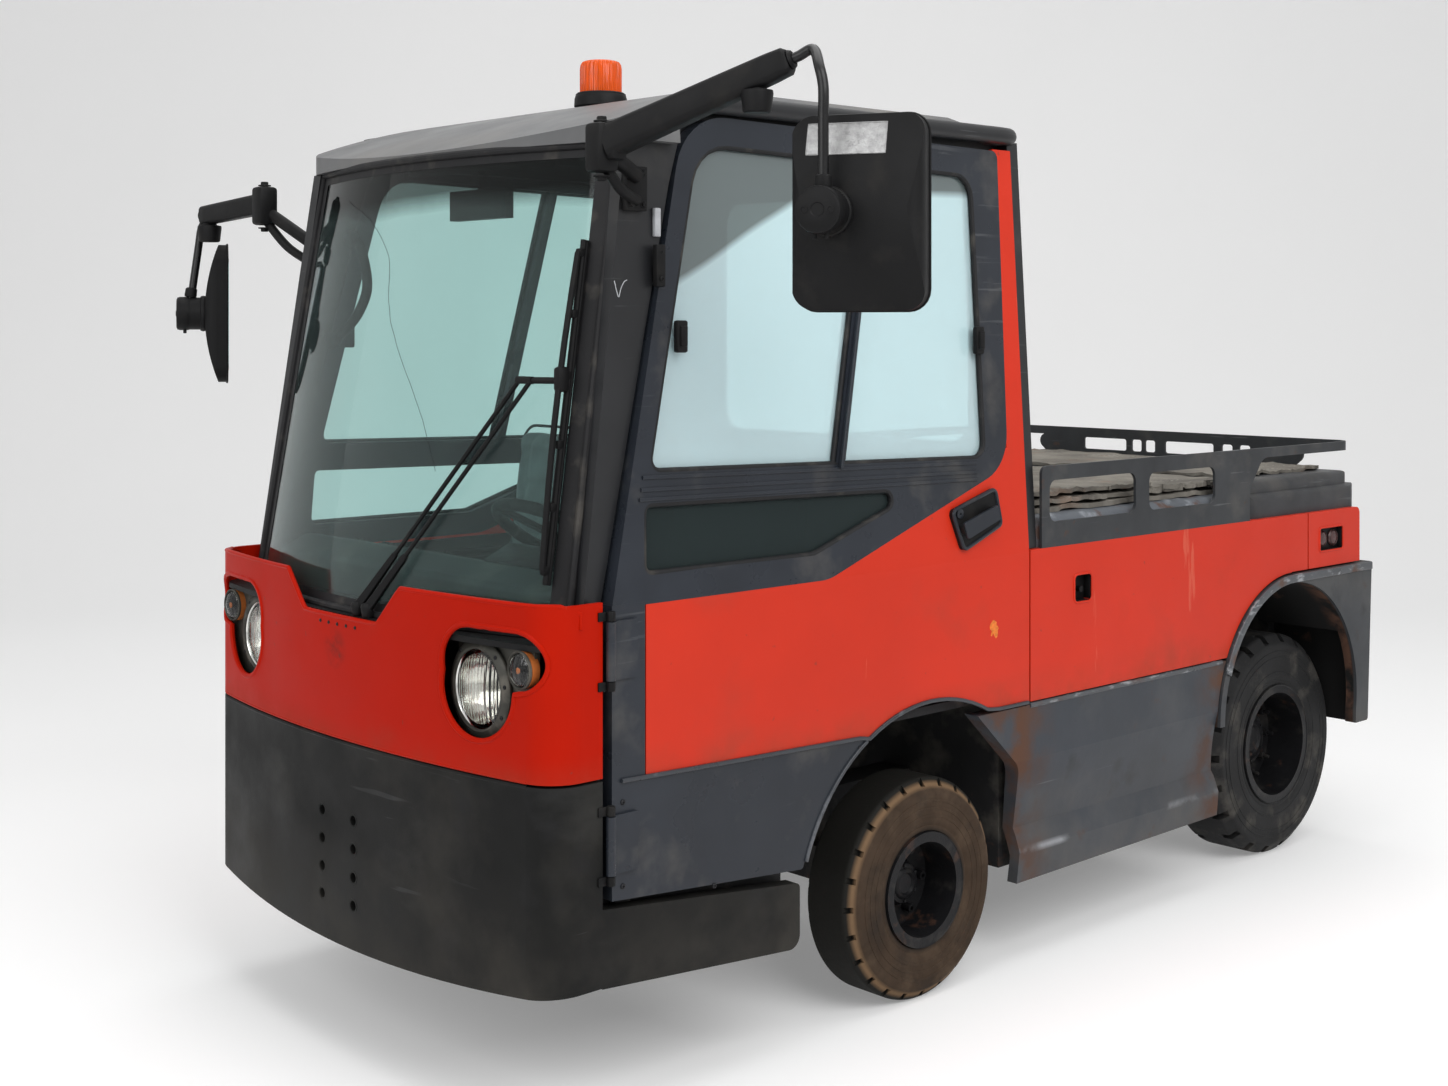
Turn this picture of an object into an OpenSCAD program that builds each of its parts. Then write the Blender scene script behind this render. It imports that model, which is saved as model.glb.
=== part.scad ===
// Electric tow tractor with a closed cab and a rear load deck.
// +X is forward, +Y is the left side, +Z is up, Z = 0 is the ground.
// Pieces are drawn with X = 0 at the front axle, then moved to the middle of the length.

/* [Overall] */
// Body width over the side panels
body_w = 1366; // [1350:2:1390]
// Distance between the axles
wheelbase = 1717; // [1700:1:1740]
// Front axle to the front face
front_overhang = 1198; // [1190:1:1220]
// Rear axle to the end of the tow coupling
rear_overhang = 455; // [450:1:480]

/* [Wheels] */
// Front tyre outside diameter
front_tyre_d = 524; // [510:2:530]
// Front tyre width
front_tyre_w = 160; // [150:2:166]
// Front wheel middle plane to the centre line
front_wheel_y = 584; // [580:1:590]
// Rear tyre outside diameter
rear_tyre_d = 662; // [650:2:670]
// Rear tyre width
rear_tyre_w = 190; // [180:2:194]
// Rear wheel middle plane to the centre line
rear_wheel_y = 484; // [480:1:490]
// Lugs on each shoulder of a rear tyre
rear_lugs = 22; // [16:1:26]
// Notches on each shoulder of a front tyre
front_notches = 24; // [16:1:30]

/* [Steering] */
// King pin to the centre line
king_pin_y = 470; // [466:1:474]
// Steering arm length
steer_arm = 110; // [100:1:120]

/* [Body] */
// Underside of the front apron at the middle
apron_z = 244; // [236:1:256]
// Seam between the front apron and the front panel
split_z = 693; // [688:1:698]
// Top of the front panel
panel_top_z = 1048; // [1046:1:1052]
// Bottom of the red side panels
side_z = 660; // [658:1:664]
// Top of the red side panels behind the cab
side_top_z = 1040; // [1036:1:1044]
// Thickness of the pressed front shells
shell_t = 10; // [8:1:12]
// Thickness of the side panels
skin_t = 30; // [26:1:32]

/* [Cab] */
// Door front edge, from the front axle
door_front = 978; // [974:1:980]
// Door rear edge, from the front axle
door_rear = -371; // [-374:1:-368]
// Door thickness
door_t = 36; // [32:1:38]
// Height where the cab sides start to lean in
belt_z = 1035; // [1034:1:1038]
// Lean of the cab sides
tumble = 3.45; // [3:0.05:4]
// Lean of the windscreen
screen_rake = 10; // [9.5:0.1:10.5]
// Crown of the roof
roof_z = 2160; // [2150:1:2170]
// Gap round the doors
door_gap = 8; // [6:1:10]

/* [Deck] */
// Top of the deck cover
deck_z = 1120; // [1116:1:1126]
// Thickness of the deck mats
mat_t = 28; // [20:1:34]
// Top of the deck rail
rail_top_z = 1247; // [1240:1:1255]

/* [Mounts] */
// Bore of the tow coupling
tow_bore_d = 38; // [34:1:40]
// Bolt holes in the front apron
apron_hole_d = 22; // [18:1:24]

/* [Hidden] */
$fn = 64;
half_w = body_w / 2;
overall_len = front_overhang + wheelbase + rear_overhang;
front_axle_x = overall_len / 2 - front_overhang;
front_r = front_tyre_d / 2;
rear_r = rear_tyre_d / 2;
run_fit = 0.05;
// Segments of the large arcs
fine = 720;

// Front plan curve
front_arc_r = 3320;
corner_r = 85;
panel_rear = door_front + 24;
apron_t = 25;
apron_bow_r = 7300;

// Lamps
lamp_y = half_w - 238;
lamp_z = 859;
lamp_x = front_overhang - 76;
flash_y = half_w - 94;
flash_z = 917;

// Wheel arches
front_arch_r = 456;
front_arch_z = front_r;
rear_arch_x = -wheelbase + 89;
rear_arch_z = 468;
rear_arch_r = 372;
arch_lip = 24;
arch_liner_t = 12;

// Side skirts and the battery tub
skirt_top_z = side_z - 8;
skirt_t = 43;
skirt_front = -345;
skirt_rear = rear_arch_x + rear_arch_r + 4;
tub_half = half_w - 83;
bulk_t = 40;
bulk_a = -352 - bulk_t;
bulk_b = rear_arch_x + rear_arch_r + arch_liner_t + 4;
tub_z = 230;
tub_floor_t = 60;

// Rear body
seam = 6;
corner_seam = -wheelbase - 3;
body_rear = -wheelbase - 312;
fender_z = 866;
fender_rear = -wheelbase - 378;
tow_plate_t = 15;
tow_plate_x = -wheelbase - rear_r - 10 - tow_plate_t;
hood_front = -wheelbase + 321;
hood_rear = -wheelbase - 331;
hood_z = side_top_z + 6;
hood_top_z = 1151;
tail_recess = 19;
rail_t = 8;
rail_rear = -wheelbase - 272;

// Cab
frame_top_z = 2056;
roof_side_z = frame_top_z + 12;
eyebrow_z = 1986;
roof_ceiling_z = 2095;
brow_ceiling_z = 2030;
brow_x = 765;
brow_r = 1764;
crown_r = 4000;
crown_x = 100;
roof_mid = 240;
pillar_top_x = 862;
pillar_top_z = 2010;
cowl_z = 956;
cowl_t = 12;
screen_z = cowl_z + cowl_t;
screen_x = front_overhang - 48;
screen_r = 1720;
screen_t = 6;
pillar_inset = 28;
pillar_w = 33;
pillar_lean = 2.06;
wall_front = door_rear - 3;
wall_t = 42;
floor_z = 430;
floor_t = 20;
seat_floor_z = 670;
riser_x = 443;
floor_half = half_w - door_t - 7;
frame_rail_y = 200;
frame_rail_w = 100;
frame_rail_z = 330;
glass_t = 6;
hinge_x = door_front + 9;
hinge_y = half_w + 8;
hinge_r = 10;
hinge_pin_r = 5;
hinge_h = 120;
hinge_z = [500, 890];
seat_y = 325;
seat_base_z = 790;
wheel_tilt = 32;
steer_x = 800;
steer_z = 1120;

// Moves a piece from the front axle to the middle of the length
module place() { translate([front_axle_x, 0, 0]) children(); }

// The piece and its mirror image on the right side
module both_sides() {
  children();
  mirror([0, 1, 0]) children();
}

// An X-Z outline as a plate with its outer face at y_out
module side_plate(y_out, t) { translate([0, y_out, 0]) rotate([90, 0, 0]) linear_extrude(t) children(); }

// A Y-Z outline as a plate that starts at x0 and runs forward
module cross_plate(x0, t) { translate([x0, 0, 0]) rotate([90, 0, 90]) linear_extrude(t) children(); }

// An X-Y outline as a plate that starts at z0
module flat_plate(z0, t) { translate([0, 0, z0]) linear_extrude(t) children(); }

// A box from its two corners
module box(a, b) { translate(a) cube(b - a); }

// A round bar between two points
module bar(a, b, r) {
  d = b - a;
  translate(a) rotate([0, acos(d[2] / norm(d)), atan2(d[1], d[0])]) cylinder(r = r, h = norm(d));
}

// A rectangle with its four corners rounded
module rounded_rect(a, b, r) {
  translate([a[0] + r, a[1]]) square([b[0] - a[0] - 2 * r, b[1] - a[1]]);
  translate([a[0], a[1] + r]) square([b[0] - a[0], b[1] - a[1] - 2 * r]);
  for (x = [a[0] + r, b[0] - r], y = [a[1] + r, b[1] - r]) translate([x, y]) circle(r);
}

// A block with rounded upright corners and rounded top edges
module moulded(a, b, plan_r, top_r) {
  low = a[2] - 2 * top_r;
  intersection() {
    flat_plate(a[2], b[2] - a[2]) rounded_rect([a[0], a[1]], [b[0], b[1]], plan_r);
    side_plate(b[1], b[1] - a[1]) rounded_rect([a[0], low], [b[0], b[2]], top_r);
    cross_plate(a[0], b[0] - a[0]) rounded_rect([a[1], low], [b[1], b[2]], top_r);
  }
}

// Points of an arc of radius r that rounds the corner b between a and c
function unit(v) = v / norm(v);
function corner_arc(a, b, c, r, n) =
  let (
    u = unit(a - b), v = unit(c - b), half = acos(u * v) / 2,
    m = b + unit(u + v) * r / sin(half),
    p = b + u * r / tan(half) - m, q = b + v * r / tan(half) - m,
    a0 = atan2(p[1], p[0]), turn = (atan2(q[1], q[0]) - a0 + 540) % 360 - 180
  )
  [for (i = [0:n]) m + r * [cos(a0 + turn * i / n), sin(a0 + turn * i / n)]];

// An outline of [x, y] or [x, y, radius] corners
function rounded(pts) = [
  for (i = [0:len(pts) - 1])
    let (
      n = len(pts), a = pts[(i + n - 1) % n], b = pts[i], c = pts[(i + 1) % n],
      p = [a[0], a[1]], q = [b[0], b[1]], s = [c[0], c[1]]
    )
    each len(b) > 2 ? corner_arc(p, q, s, b[2], 8) : [q]
];

// Plan outline with a bowed front and rounded front corners
module bowed_plan(front, arc_r, round_r, half, inset, back) {
  centre = front - arc_r;
  corner_y = half - round_r;
  corner_x = centre + sqrt((arc_r - round_r) ^ 2 - corner_y ^ 2);
  meet_y = corner_y + (round_r - inset) * corner_y / (arc_r - round_r);
  intersection() {
    translate([centre, 0]) circle(arc_r - inset, $fn = fine);
    translate([back, -meet_y]) square([front - back, 2 * meet_y]);
  }
  intersection() {
    for (s = [-1, 1]) translate([corner_x, s * corner_y]) circle(round_r - inset);
    translate([back, -half]) square([front - back, 2 * half]);
  }
  translate([back, -half + inset]) square([corner_x - back, 2 * (half - inset)]);
}

module front_plan(inset, back) {
  bowed_plan(front_overhang, front_arc_r, corner_r, half_w, inset, back);
}

// A shell that follows the front plan curve
module front_shell(z0, z1, t) {
  flat_plate(z0, z1 - z0) difference() {
    front_plan(0, panel_rear);
    front_plan(t, panel_rear - 1);
  }
}

// Half widths of the cab at a height above the belt
function cab_y(z) = half_w - (z - belt_z) * tan(tumble);
function pillar_y(z) = half_w - pillar_inset - (z - belt_z) * tan(pillar_lean);

// Leans the upper part of a door or wall in about the belt line
module leaning() {
  translate([0, half_w, belt_z]) rotate([tumble, 0, 0]) translate([0, -half_w, -belt_z]) children();
}

// Bores of the front bolts
module apron_bores(d) {
  for (y = [-apron_holes_y, apron_holes_y], z = apron_holes_z)
    translate([front_overhang - 120, y, z]) rotate([0, 90, 0]) cylinder(d = d, h = 160);
}

// Frame rails, bulkheads, battery tub and cross members
module bulkhead(x0) {
  cross_plate(x0, bulk_t) {
    translate([-tub_half, tub_z]) square([2 * tub_half, seat_floor_z - tub_z]);
    translate([skirt_t - half_w, 520]) square([2 * (half_w - skirt_t), skirt_top_z - 526]);
  }
}
module chassis_frame() {
  color("dimgray") place() {
    both_sides() {
      box([bulk_a, frame_rail_y, frame_rail_z], [front_overhang - 90, frame_rail_y + frame_rail_w, floor_z]);
      box([tow_plate_x + tow_plate_t, frame_rail_y, 440], [bulk_b, frame_rail_y + frame_rail_w, 540]);
    }
    difference() {
      flat_plate(frame_rail_z, split_z - 30 - frame_rail_z) intersection() {
        front_plan(apron_t, front_overhang - 110);
        translate([front_overhang - 110, -330]) square([110, 660]);
      }
      apron_bores(apron_hole_d + 12);
    }
    box([900, skirt_t - 7 - half_w, 300], [940, half_w - skirt_t + 7, floor_z]);
    box([480, skirt_t - 7 - half_w, 300], [520, half_w - skirt_t + 7, 365]);
    box([480, -frame_rail_y - 10, 300], [520, frame_rail_y + 10, floor_z]);
    bulkhead(bulk_a);
    bulkhead(bulk_b);
    box([bulk_b, -tub_half, tub_z], [bulk_a + bulk_t, tub_half, tub_z + tub_floor_t]);
    box([tow_plate_x + tow_plate_t, -370, 400], [tow_plate_x + tow_plate_t + bulk_t, 370, fender_z - 16]);
  }
}

// Grey lower front shell with its bolt holes, and the sills below the doors
apron_holes_y = 64;
apron_holes_z = [341, 402, 464, 526];
module front_apron() {
  color([0.22, 0.23, 0.25]) place() {
    difference() {
      intersection() {
        front_shell(apron_z, split_z - 3, apron_t);
        translate([0, 0, apron_z + apron_bow_r]) rotate([0, 90, 0]) cylinder(r = apron_bow_r, h = 2000, $fn = fine);
      }
      apron_bores(apron_hole_d);
    }
    both_sides() side_plate(half_w, door_t)
      polygon(rounded([[panel_rear, 274], [panel_rear, 433], [riser_x, 373, 12], [riser_x, 229, 30]]));
  }
}

// Red front panel with the lamp openings and the windscreen notch
module lamp_opening() {
  translate([lamp_y + 30, 868]) circle(106);
  translate([lamp_y + 5, 915]) circle(80);
  translate([flash_y + 4, 932]) circle(62);
  translate([lamp_y + 5, 880]) square([flash_y - lamp_y - 1, 115]);
}
module front_panel() {
  color([0.69, 0.12, 0.04]) place() difference() {
    front_shell(split_z + 3, panel_top_z, shell_t);
    cross_plate(front_overhang - 60, 90)
      polygon([[-150, 962], [150, 962], [234, panel_top_z + 1], [-234, panel_top_z + 1]]);
    both_sides() cross_plate(front_overhang - 260, 300) lamp_opening();
  }
}

// Shelf between the front panel and the windscreen, with its carrier
module cowl() {
  color([0.16, 0.16, 0.17]) place() difference() {
    flat_plate(cowl_z, cowl_t) front_plan(shell_t, door_front + door_gap);
    both_sides() box([door_front, half_w - pillar_inset - pillar_w - 1, 900], [1046, half_w + 10, 1000]);
  }
}

// Lamp carriers with headlamp and flasher bodies
module headlamps() {
  color([0.3, 0.31, 0.32]) place() both_sides() {
    difference() {
      box([lamp_x - 12, lamp_y - 90, 757], [lamp_x, flash_y + 30, cowl_z - 0.3]);
      translate([lamp_x - 20, lamp_y, lamp_z]) rotate([0, 90, 0]) cylinder(r = 70, h = 40);
    }
    translate([lamp_x, lamp_y, lamp_z]) rotate([0, 90, 0]) difference() {
      union() {
        cylinder(r = 92, h = 10);
        translate([0, 0, -60]) cylinder(r = 80, h = 60);
      }
      translate([0, 0, -52]) cylinder(r = 72, h = 70);
    }
    translate([lamp_x, flash_y, flash_z]) rotate([0, 90, 0]) cylinder(r = 36, h = 16);
  }
}

// Domed lamp glasses: headlamps, flashers and tail lamps
module dome(r, h) {
  ball = (r * r + h * h) / (2 * h);
  rotate_extrude() intersection() {
    translate([0, h - ball]) circle(ball, $fn = 360);
    square([r, h]);
  }
}
module lamp_lenses() {
  color([0.85, 0.88, 0.9]) place() both_sides() {
    translate([lamp_x + 10, lamp_y, lamp_z]) rotate([0, 90, 0]) dome(80, 14);
    translate([lamp_x + 16, flash_y, flash_z]) rotate([0, 90, 0]) dome(34, 12);
    for (x = [-104, -168]) translate([corner_seam + x, half_w - tail_recess, 954]) rotate([-90, 0, 0]) dome(24, 10);
  }
}

// Folded step skirts between the wheels
module skirt_section() {
  polygon([
    [half_w, skirt_top_z], [half_w, 515], [half_w - 35, 340], [half_w - 13, 283], [half_w - 19, 205],
    [half_w - 49, 205], [half_w - 43, 270], [half_w - 69, 335], [half_w - skirt_t, 515],
    [half_w - skirt_t, skirt_top_z]
  ]);
}
module side_skirts() {
  color([0.2, 0.21, 0.23]) place() both_sides() difference() {
    intersection() {
      cross_plate(skirt_rear - 80, 800 - skirt_rear) skirt_section();
      side_plate(half_w, 100) polygon(rounded([
        [skirt_front, 205], [skirt_front - 7, 320], [skirt_front + 10, 499, 60], [-171, skirt_top_z],
        [skirt_rear - 80, skirt_top_z], [skirt_rear - 80, rear_arch_z], [skirt_rear, rear_arch_z],
        [skirt_rear, 215]
      ]));
    }
    side_plate(half_w + 10, 120) translate([rear_arch_x, rear_arch_z]) circle(rear_arch_r + arch_lip + seam);
  }
}

// Red side panels behind the cab, with the corner panels and the rear panel
module rear_side_panels() {
  color([0.8, 0.21, 0.15]) place() {
    both_sides() {
      side_plate(half_w, skin_t) difference() {
        polygon([
          [door_rear - seam, side_z], [door_rear - seam, side_top_z], [corner_seam + seam / 2, side_top_z],
          [corner_seam + seam / 2, side_z]
        ]);
        translate([rear_arch_x, rear_arch_z]) circle(rear_arch_r + arch_lip + seam);
        translate([corner_seam - 100, side_z - 50]) square([300, fender_z + seam - side_z + 50]);
        rounded_rect([-634, 888], [-557, 961], 14);
      }
      difference() {
        side_plate(half_w, skin_t)
          polygon(rounded([
            [corner_seam - seam / 2, fender_z + seam], [corner_seam - seam / 2, side_top_z],
            [body_rear, side_top_z, 20], [body_rear, fender_z + seam]
          ]));
        side_plate(half_w + 1, tail_recess + 1) rounded_rect([corner_seam - 206, 918], [corner_seam - 66, 990], 8);
      }
    }
    box([body_rear, skin_t - half_w, fender_z + seam], [body_rear + skin_t, half_w - skin_t, side_top_z]);
  }
}

// Grey rear fenders: arch lip, wheel house and rear end
module rear_fenders() {
  color([0.17, 0.18, 0.19]) place() both_sides() {
    side_plate(half_w + 6, 36) difference() {
      union() {
        intersection() {
          translate([rear_arch_x, rear_arch_z]) circle(rear_arch_r + arch_lip);
          translate([rear_arch_x, rear_arch_z]) square(600);
        }
        polygon(rounded([
          [rear_arch_x, rear_arch_z], [rear_arch_x, fender_z], [fender_rear, fender_z, 12], [fender_rear + 26, 371, 10],
          [fender_rear + 100, 371], [fender_rear + 100, rear_arch_z]
        ]));
      }
      translate([rear_arch_x, rear_arch_z]) circle(rear_arch_r);
      translate([rear_arch_x, 0]) square([600, rear_arch_z]);
    }
    side_plate(half_w - 30, half_w - 30 - rear_wheel_y + rear_tyre_w / 2 + 10) difference() {
      intersection() {
        translate([rear_arch_x, rear_arch_z]) circle(rear_arch_r + arch_liner_t);
        translate([rear_arch_x - 320, rear_arch_z + 60]) square([700, 600]);
      }
      translate([rear_arch_x, rear_arch_z]) circle(rear_arch_r);
    }
  }
}

// Grey rear end plate
module rear_plate() {
  color([0.17, 0.18, 0.19]) place() {
    box([tow_plate_x, 30 - half_w, 360], [tow_plate_x + tow_plate_t, half_w - 30, fender_z - 2]);
    box([tow_plate_x, 30 - half_w, fender_z - 16], [body_rear + skin_t, half_w - 30, fender_z - 2]);
  }
}

// Multi level tow coupling with a vertical bore
tow_jaws_z = [400, 462, 524, 586];
module tow_coupling() {
  jaw_front = tow_plate_x - 14;
  jaw_end = -wheelbase - rear_overhang;
  bore_x = jaw_end + 44;
  color([0.12, 0.12, 0.13]) place() {
    difference() {
      union() {
        box([jaw_front, -110, 380], [tow_plate_x, 110, 626]);
        for (z = tow_jaws_z) flat_plate(z, 22) {
          translate([bore_x, -44]) square([jaw_front - bore_x, 88]);
          translate([bore_x, 0]) circle(44);
        }
      }
      translate([bore_x, 0, 380]) cylinder(d = tow_bore_d, h = 260);
    }
  }
}

// Deck cover over the battery, with rounded edges
module deck_cover() {
  color([0.3, 0.33, 0.36]) place() moulded(
    [hood_front + 8, 12 - half_w, side_top_z], [door_rear - 50, half_w - 12, deck_z], 20, 40);
}

// Ribbed mats on the deck and on the rear hood
module deck_mats() {
  color([0.25, 0.24, 0.22]) place() {
    box([hood_front + 14, 50 - half_w, deck_z], [door_rear - 58, half_w - 50, deck_z + mat_t]);
    box([hood_rear + 60, 110 - half_w, hood_top_z], [hood_front - 50, half_w - 110, hood_top_z + 10]);
  }
}

// Moulded hood over the drive unit
module rear_hood() {
  color([0.15, 0.15, 0.16]) place() {
    moulded([hood_rear, 16 - half_w, hood_z - 6], [hood_front, half_w - 16, 1113], 50, 20);
    moulded([hood_rear + 14, 32 - half_w, 1100], [hood_front, half_w - 32, hood_top_z], 50, 30);
  }
}

// Rail round the deck: side plates with windows, tail bars and the rear plate
module deck_rails() {
  bar_z = rail_top_z - 28;
  plate_rear = -wheelbase + 321;
  color([0.1, 0.1, 0.11]) place() {
    both_sides() side_plate(half_w, rail_t) difference() {
      polygon(rounded([
        [door_rear - 52, side_top_z], [door_rear - 52, rail_top_z, 20], [plate_rear - 120, rail_top_z],
        [plate_rear - 120, bar_z], [plate_rear - 70, bar_z, 60], [plate_rear, 1130, 60], [plate_rear, side_top_z]
      ]));
      rounded_rect([-831, 1104], [-455, 1210], 25);
      rounded_rect([-1215, 1104], [-893, 1206], 25);
    }
    flat_plate(bar_z, rail_top_z - bar_z) intersection() {
      difference() {
        rounded_rect([rail_rear, -half_w], [rail_rear + 900, half_w], 60);
        rounded_rect([rail_rear + rail_t, rail_t - half_w], [rail_rear + 900 + rail_t, half_w - rail_t], 52);
      }
      translate([rail_rear, -half_w]) square([plate_rear - 110 - rail_rear, body_w]);
    }
    cross_plate(rail_rear, rail_t) difference() {
      polygon(rounded([[-490, 1161], [-560, bar_z + 1, 25], [560, bar_z + 1, 25], [490, 1161]]));
      rounded_rect([-325, 1174], [-150, 1214], 8);
      rounded_rect([5, 1174], [192, 1214], 8);
      for (y = [-128, -74, 223, 288]) rounded_rect([y, 1174], [y + 40, 1214], 8);
    }
  }
}

// Traction battery as one block
module battery() {
  color([0.25, 0.27, 0.3]) place() box(
    [bulk_b + bulk_t + 4, -510, tub_z + tub_floor_t], [wall_front - wall_t - seam, 510, 1000]);
}

// Windscreen pillars, door headers and lower posts
function frame_front_x(z) = door_front - (z - belt_z) * 0.243;
module cab_frame() {
  header_y = cab_y(frame_top_z) - door_t - door_gap;
  color([0.07, 0.07, 0.08]) place() both_sides() {
    intersection() {
      side_plate(half_w, 200) polygon(rounded([
        [1040, cowl_z], [door_front + door_gap, cowl_z], [door_front + door_gap, belt_z],
        [frame_front_x(1900) + door_gap, 1900, 300], [frame_front_x(1900) - 46, roof_side_z],
        [brow_x - 4, roof_side_z], [brow_x - 4, pillar_top_z], [pillar_top_x, pillar_top_z], [pillar_top_x, eyebrow_z],
        [893, eyebrow_z]
      ]));
      cross_plate(600, 500) polygon([
        [pillar_y(cowl_z), cowl_z], [pillar_y(roof_side_z), roof_side_z],
        [pillar_y(roof_side_z) - pillar_w, roof_side_z], [pillar_y(cowl_z) - pillar_w, cowl_z]
      ]);
    }
    box([door_front + door_gap, half_w - pillar_inset - pillar_w, floor_z + 6], [1040, half_w - pillar_inset, cowl_z]);
    box([wall_front, header_y - 40, roof_side_z - 60], [brow_x - 4, header_y, roof_side_z]);
  }
}

// Domed roof with the eyebrow over the windscreen
module roof_solid() {
  roof_front = 985;
  roof_half = 650;
  edge_r = 200;
  intersection() {
    flat_plate(1900, 400) bowed_plan(roof_front, 2200, 130, roof_half + 22, 0, -405);
    translate([crown_x, 700, roof_z - crown_r]) rotate([90, 0, 0]) cylinder(r = crown_r, h = 1400, $fn = fine);
    translate([roof_mid, 700, roof_z - brow_r]) rotate([90, 0, 0]) cylinder(r = brow_r, h = 1400, $fn = fine);
    union() {
      box([-420, -690, roof_side_z], [1080, 690, 2300]);
      box([brow_x, -690, eyebrow_z], [1080, 690, 2300]);
    }
    cross_plate(-600, 2000) intersection() {
      translate([0, roof_z + 6 - 3500]) circle(3500, $fn = fine);
      rounded_rect([-roof_half, 1700], [roof_half, roof_z + 20], edge_r);
    }
  }
}
module cab_roof() {
  color([0.2, 0.21, 0.22]) place() difference() {
    roof_solid();
    box([-340, -540, 1900], [600, 540, roof_ceiling_z]);
    box([599, -540, 1900], [830, 540, brow_ceiling_z]);
    box([brow_x - 10, -pillar_y(eyebrow_z), 1900], [pillar_top_x, pillar_y(eyebrow_z), pillar_top_z]);
  }
}

// Rear wall of the cab with its window cut out
rear_window = [[-480, 1300], [480, 1960]];
module cab_rear_wall() {
  inset = 12;
  color([0.1, 0.1, 0.11]) place() cross_plate(wall_front - wall_t, wall_t) difference() {
    polygon([
      [half_w - skin_t, seat_floor_z], [half_w - skin_t, side_top_z], [half_w - inset, side_top_z + 2],
      [cab_y(roof_side_z) - inset, roof_side_z], [inset - cab_y(roof_side_z), roof_side_z],
      [inset - half_w, side_top_z + 2], [skin_t - half_w, side_top_z], [skin_t - half_w, seat_floor_z]
    ]);
    rounded_rect(rear_window[0], rear_window[1], 60);
  }
}

// Windscreen and rear window
module cab_glass() {
  color([0.55, 0.68, 0.68]) place() {
    intersection() {
      translate([screen_x, 0, belt_z]) rotate([0, -screen_rake, 0]) translate([-screen_r, 0, -250])
        linear_extrude(1500) difference() {
          circle(screen_r, $fn = fine);
          circle(screen_r - screen_t, $fn = fine);
        }
      cross_plate(700, 600) polygon([
        [pillar_y(screen_z) - pillar_w, screen_z], [pillar_y(eyebrow_z) - pillar_w, eyebrow_z],
        [pillar_w - pillar_y(eyebrow_z), eyebrow_z], [pillar_w - pillar_y(screen_z), screen_z]
      ]);
    }
    cross_plate(wall_front - wall_t / 2, glass_t) rounded_rect(rear_window[0], rear_window[1], 60);
  }
}

// Stepped floor with the seat pedestals
module cab_floor() {
  color([0.12, 0.12, 0.13]) place() {
    box([riser_x, -floor_half, floor_z], [door_front - 60, floor_half, floor_z + floor_t]);
    box([door_front - 60, 300 - half_w, floor_z], [front_overhang - 120, half_w - 300, floor_z + floor_t]);
    box([riser_x - floor_t, -floor_half, floor_z], [riser_x, floor_half, seat_floor_z + floor_t]);
    box([wall_front, -floor_half, seat_floor_z], [riser_x, floor_half, seat_floor_z + floor_t]);
    both_sides() box([270, seat_y - 150, seat_floor_z], [riser_x + 250, seat_y + 150, seat_base_z]);
  }
}

// Dashboard with the steering column
module dashboard() {
  color([0.33, 0.38, 0.38]) place() {
    side_plate(560, 1120) polygon(rounded([
      [850, 800], [985, 800], [985, cowl_z + cowl_t], [1020, cowl_z + cowl_t], [1020, 1050, 20], [940, 1085, 30],
      [850, 1040, 20]
    ]));
    translate([steer_x, seat_y, steer_z]) rotate([0, -wheel_tilt, 0]) translate([0, 0, -190]) cylinder(r = 30, h = 160);
  }
}

// Driver and passenger seats
module seats() {
  color([0.42, 0.46, 0.46]) place() both_sides() {
    moulded([402, seat_y - 230, seat_base_z + 0.3], [830, seat_y + 230, seat_base_z + 120], 60, 50);
    translate([285, seat_y, seat_base_z + 0.3]) rotate([0, -8, 0]) translate([0, -220, 0])
      moulded([0, 0, 0], [110, 440, 540], 40, 50);
  }
}

// Steering wheel on its column
module steering_wheel() {
  color([0.06, 0.06, 0.06]) place() translate([steer_x, seat_y, steer_z]) rotate([0, -wheel_tilt, 0]) {
    rotate_extrude() translate([180, 0]) circle(14);
    translate([0, 0, -29.7]) cylinder(r = 34, h = 40);
    for (a = [90, 210, 330]) rotate([0, 0, a]) translate([0, -12, -8]) cube([172, 24, 12]);
  }
}

// Pantograph wiper in front of the windscreen
module wiper() {
  link = [1030, 463, 1489];
  blade = [992, 558, 1489];
  pivot_x = front_overhang - 20;
  color([0.05, 0.05, 0.05]) place() {
    for (s = [-20, 20]) {
      bar([pivot_x, 72 + s, screen_z], [pivot_x, 72 + s, 995], 7);
      bar([pivot_x, 72 + s, 988], link + [0, s, 0], 5);
    }
    bar(link - [0, 26, 0], link + [0, 26, 0], 8);
    bar(link + [0, 20, 0], blade, 7);
    bar([942, 548, 1780], [1060, 571, 1077], 7);
  }
}

// Mirror arms on hinge posts, with their brackets on the pillars
mirror_yaw = 27;
mirror_left = [770, 1160, 1818];
mirror_right = [900, 1160, 1636];
mirror_face = 44;
mirror_deep = 62;
mirror_ball = [mirror_deep - mirror_face + 35, -50];
mirror_ball_r = 44;
arm_r = 20;
rod_r = 11;
function rod_foot(c) = c + [
  mirror_ball[0] * cos(mirror_yaw) - mirror_ball[1] * sin(mirror_yaw),
  mirror_ball[0] * sin(mirror_yaw) + mirror_ball[1] * cos(mirror_yaw), mirror_ball_r + 0.3];
module mirror_arm(hinge, elbow, top, foot, z) {
  y = pillar_y(z - 90) + 0.2;
  bar(hinge, elbow, arm_r);
  bar(elbow, top, rod_r);
  bar(top, foot, rod_r);
  translate(elbow) sphere(arm_r + 3);
  translate(top) sphere(rod_r + 3);
  bar(hinge - [0, 0, 55], hinge + [0, 0, 35], arm_r + 5);
  box([850, y, z - 90], [905, y + 16, z]);
  for (h = [20, 45]) bar([878, y + 16, z + 20 - 2 * h], hinge - [0, 0, h], 13);
}
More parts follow.
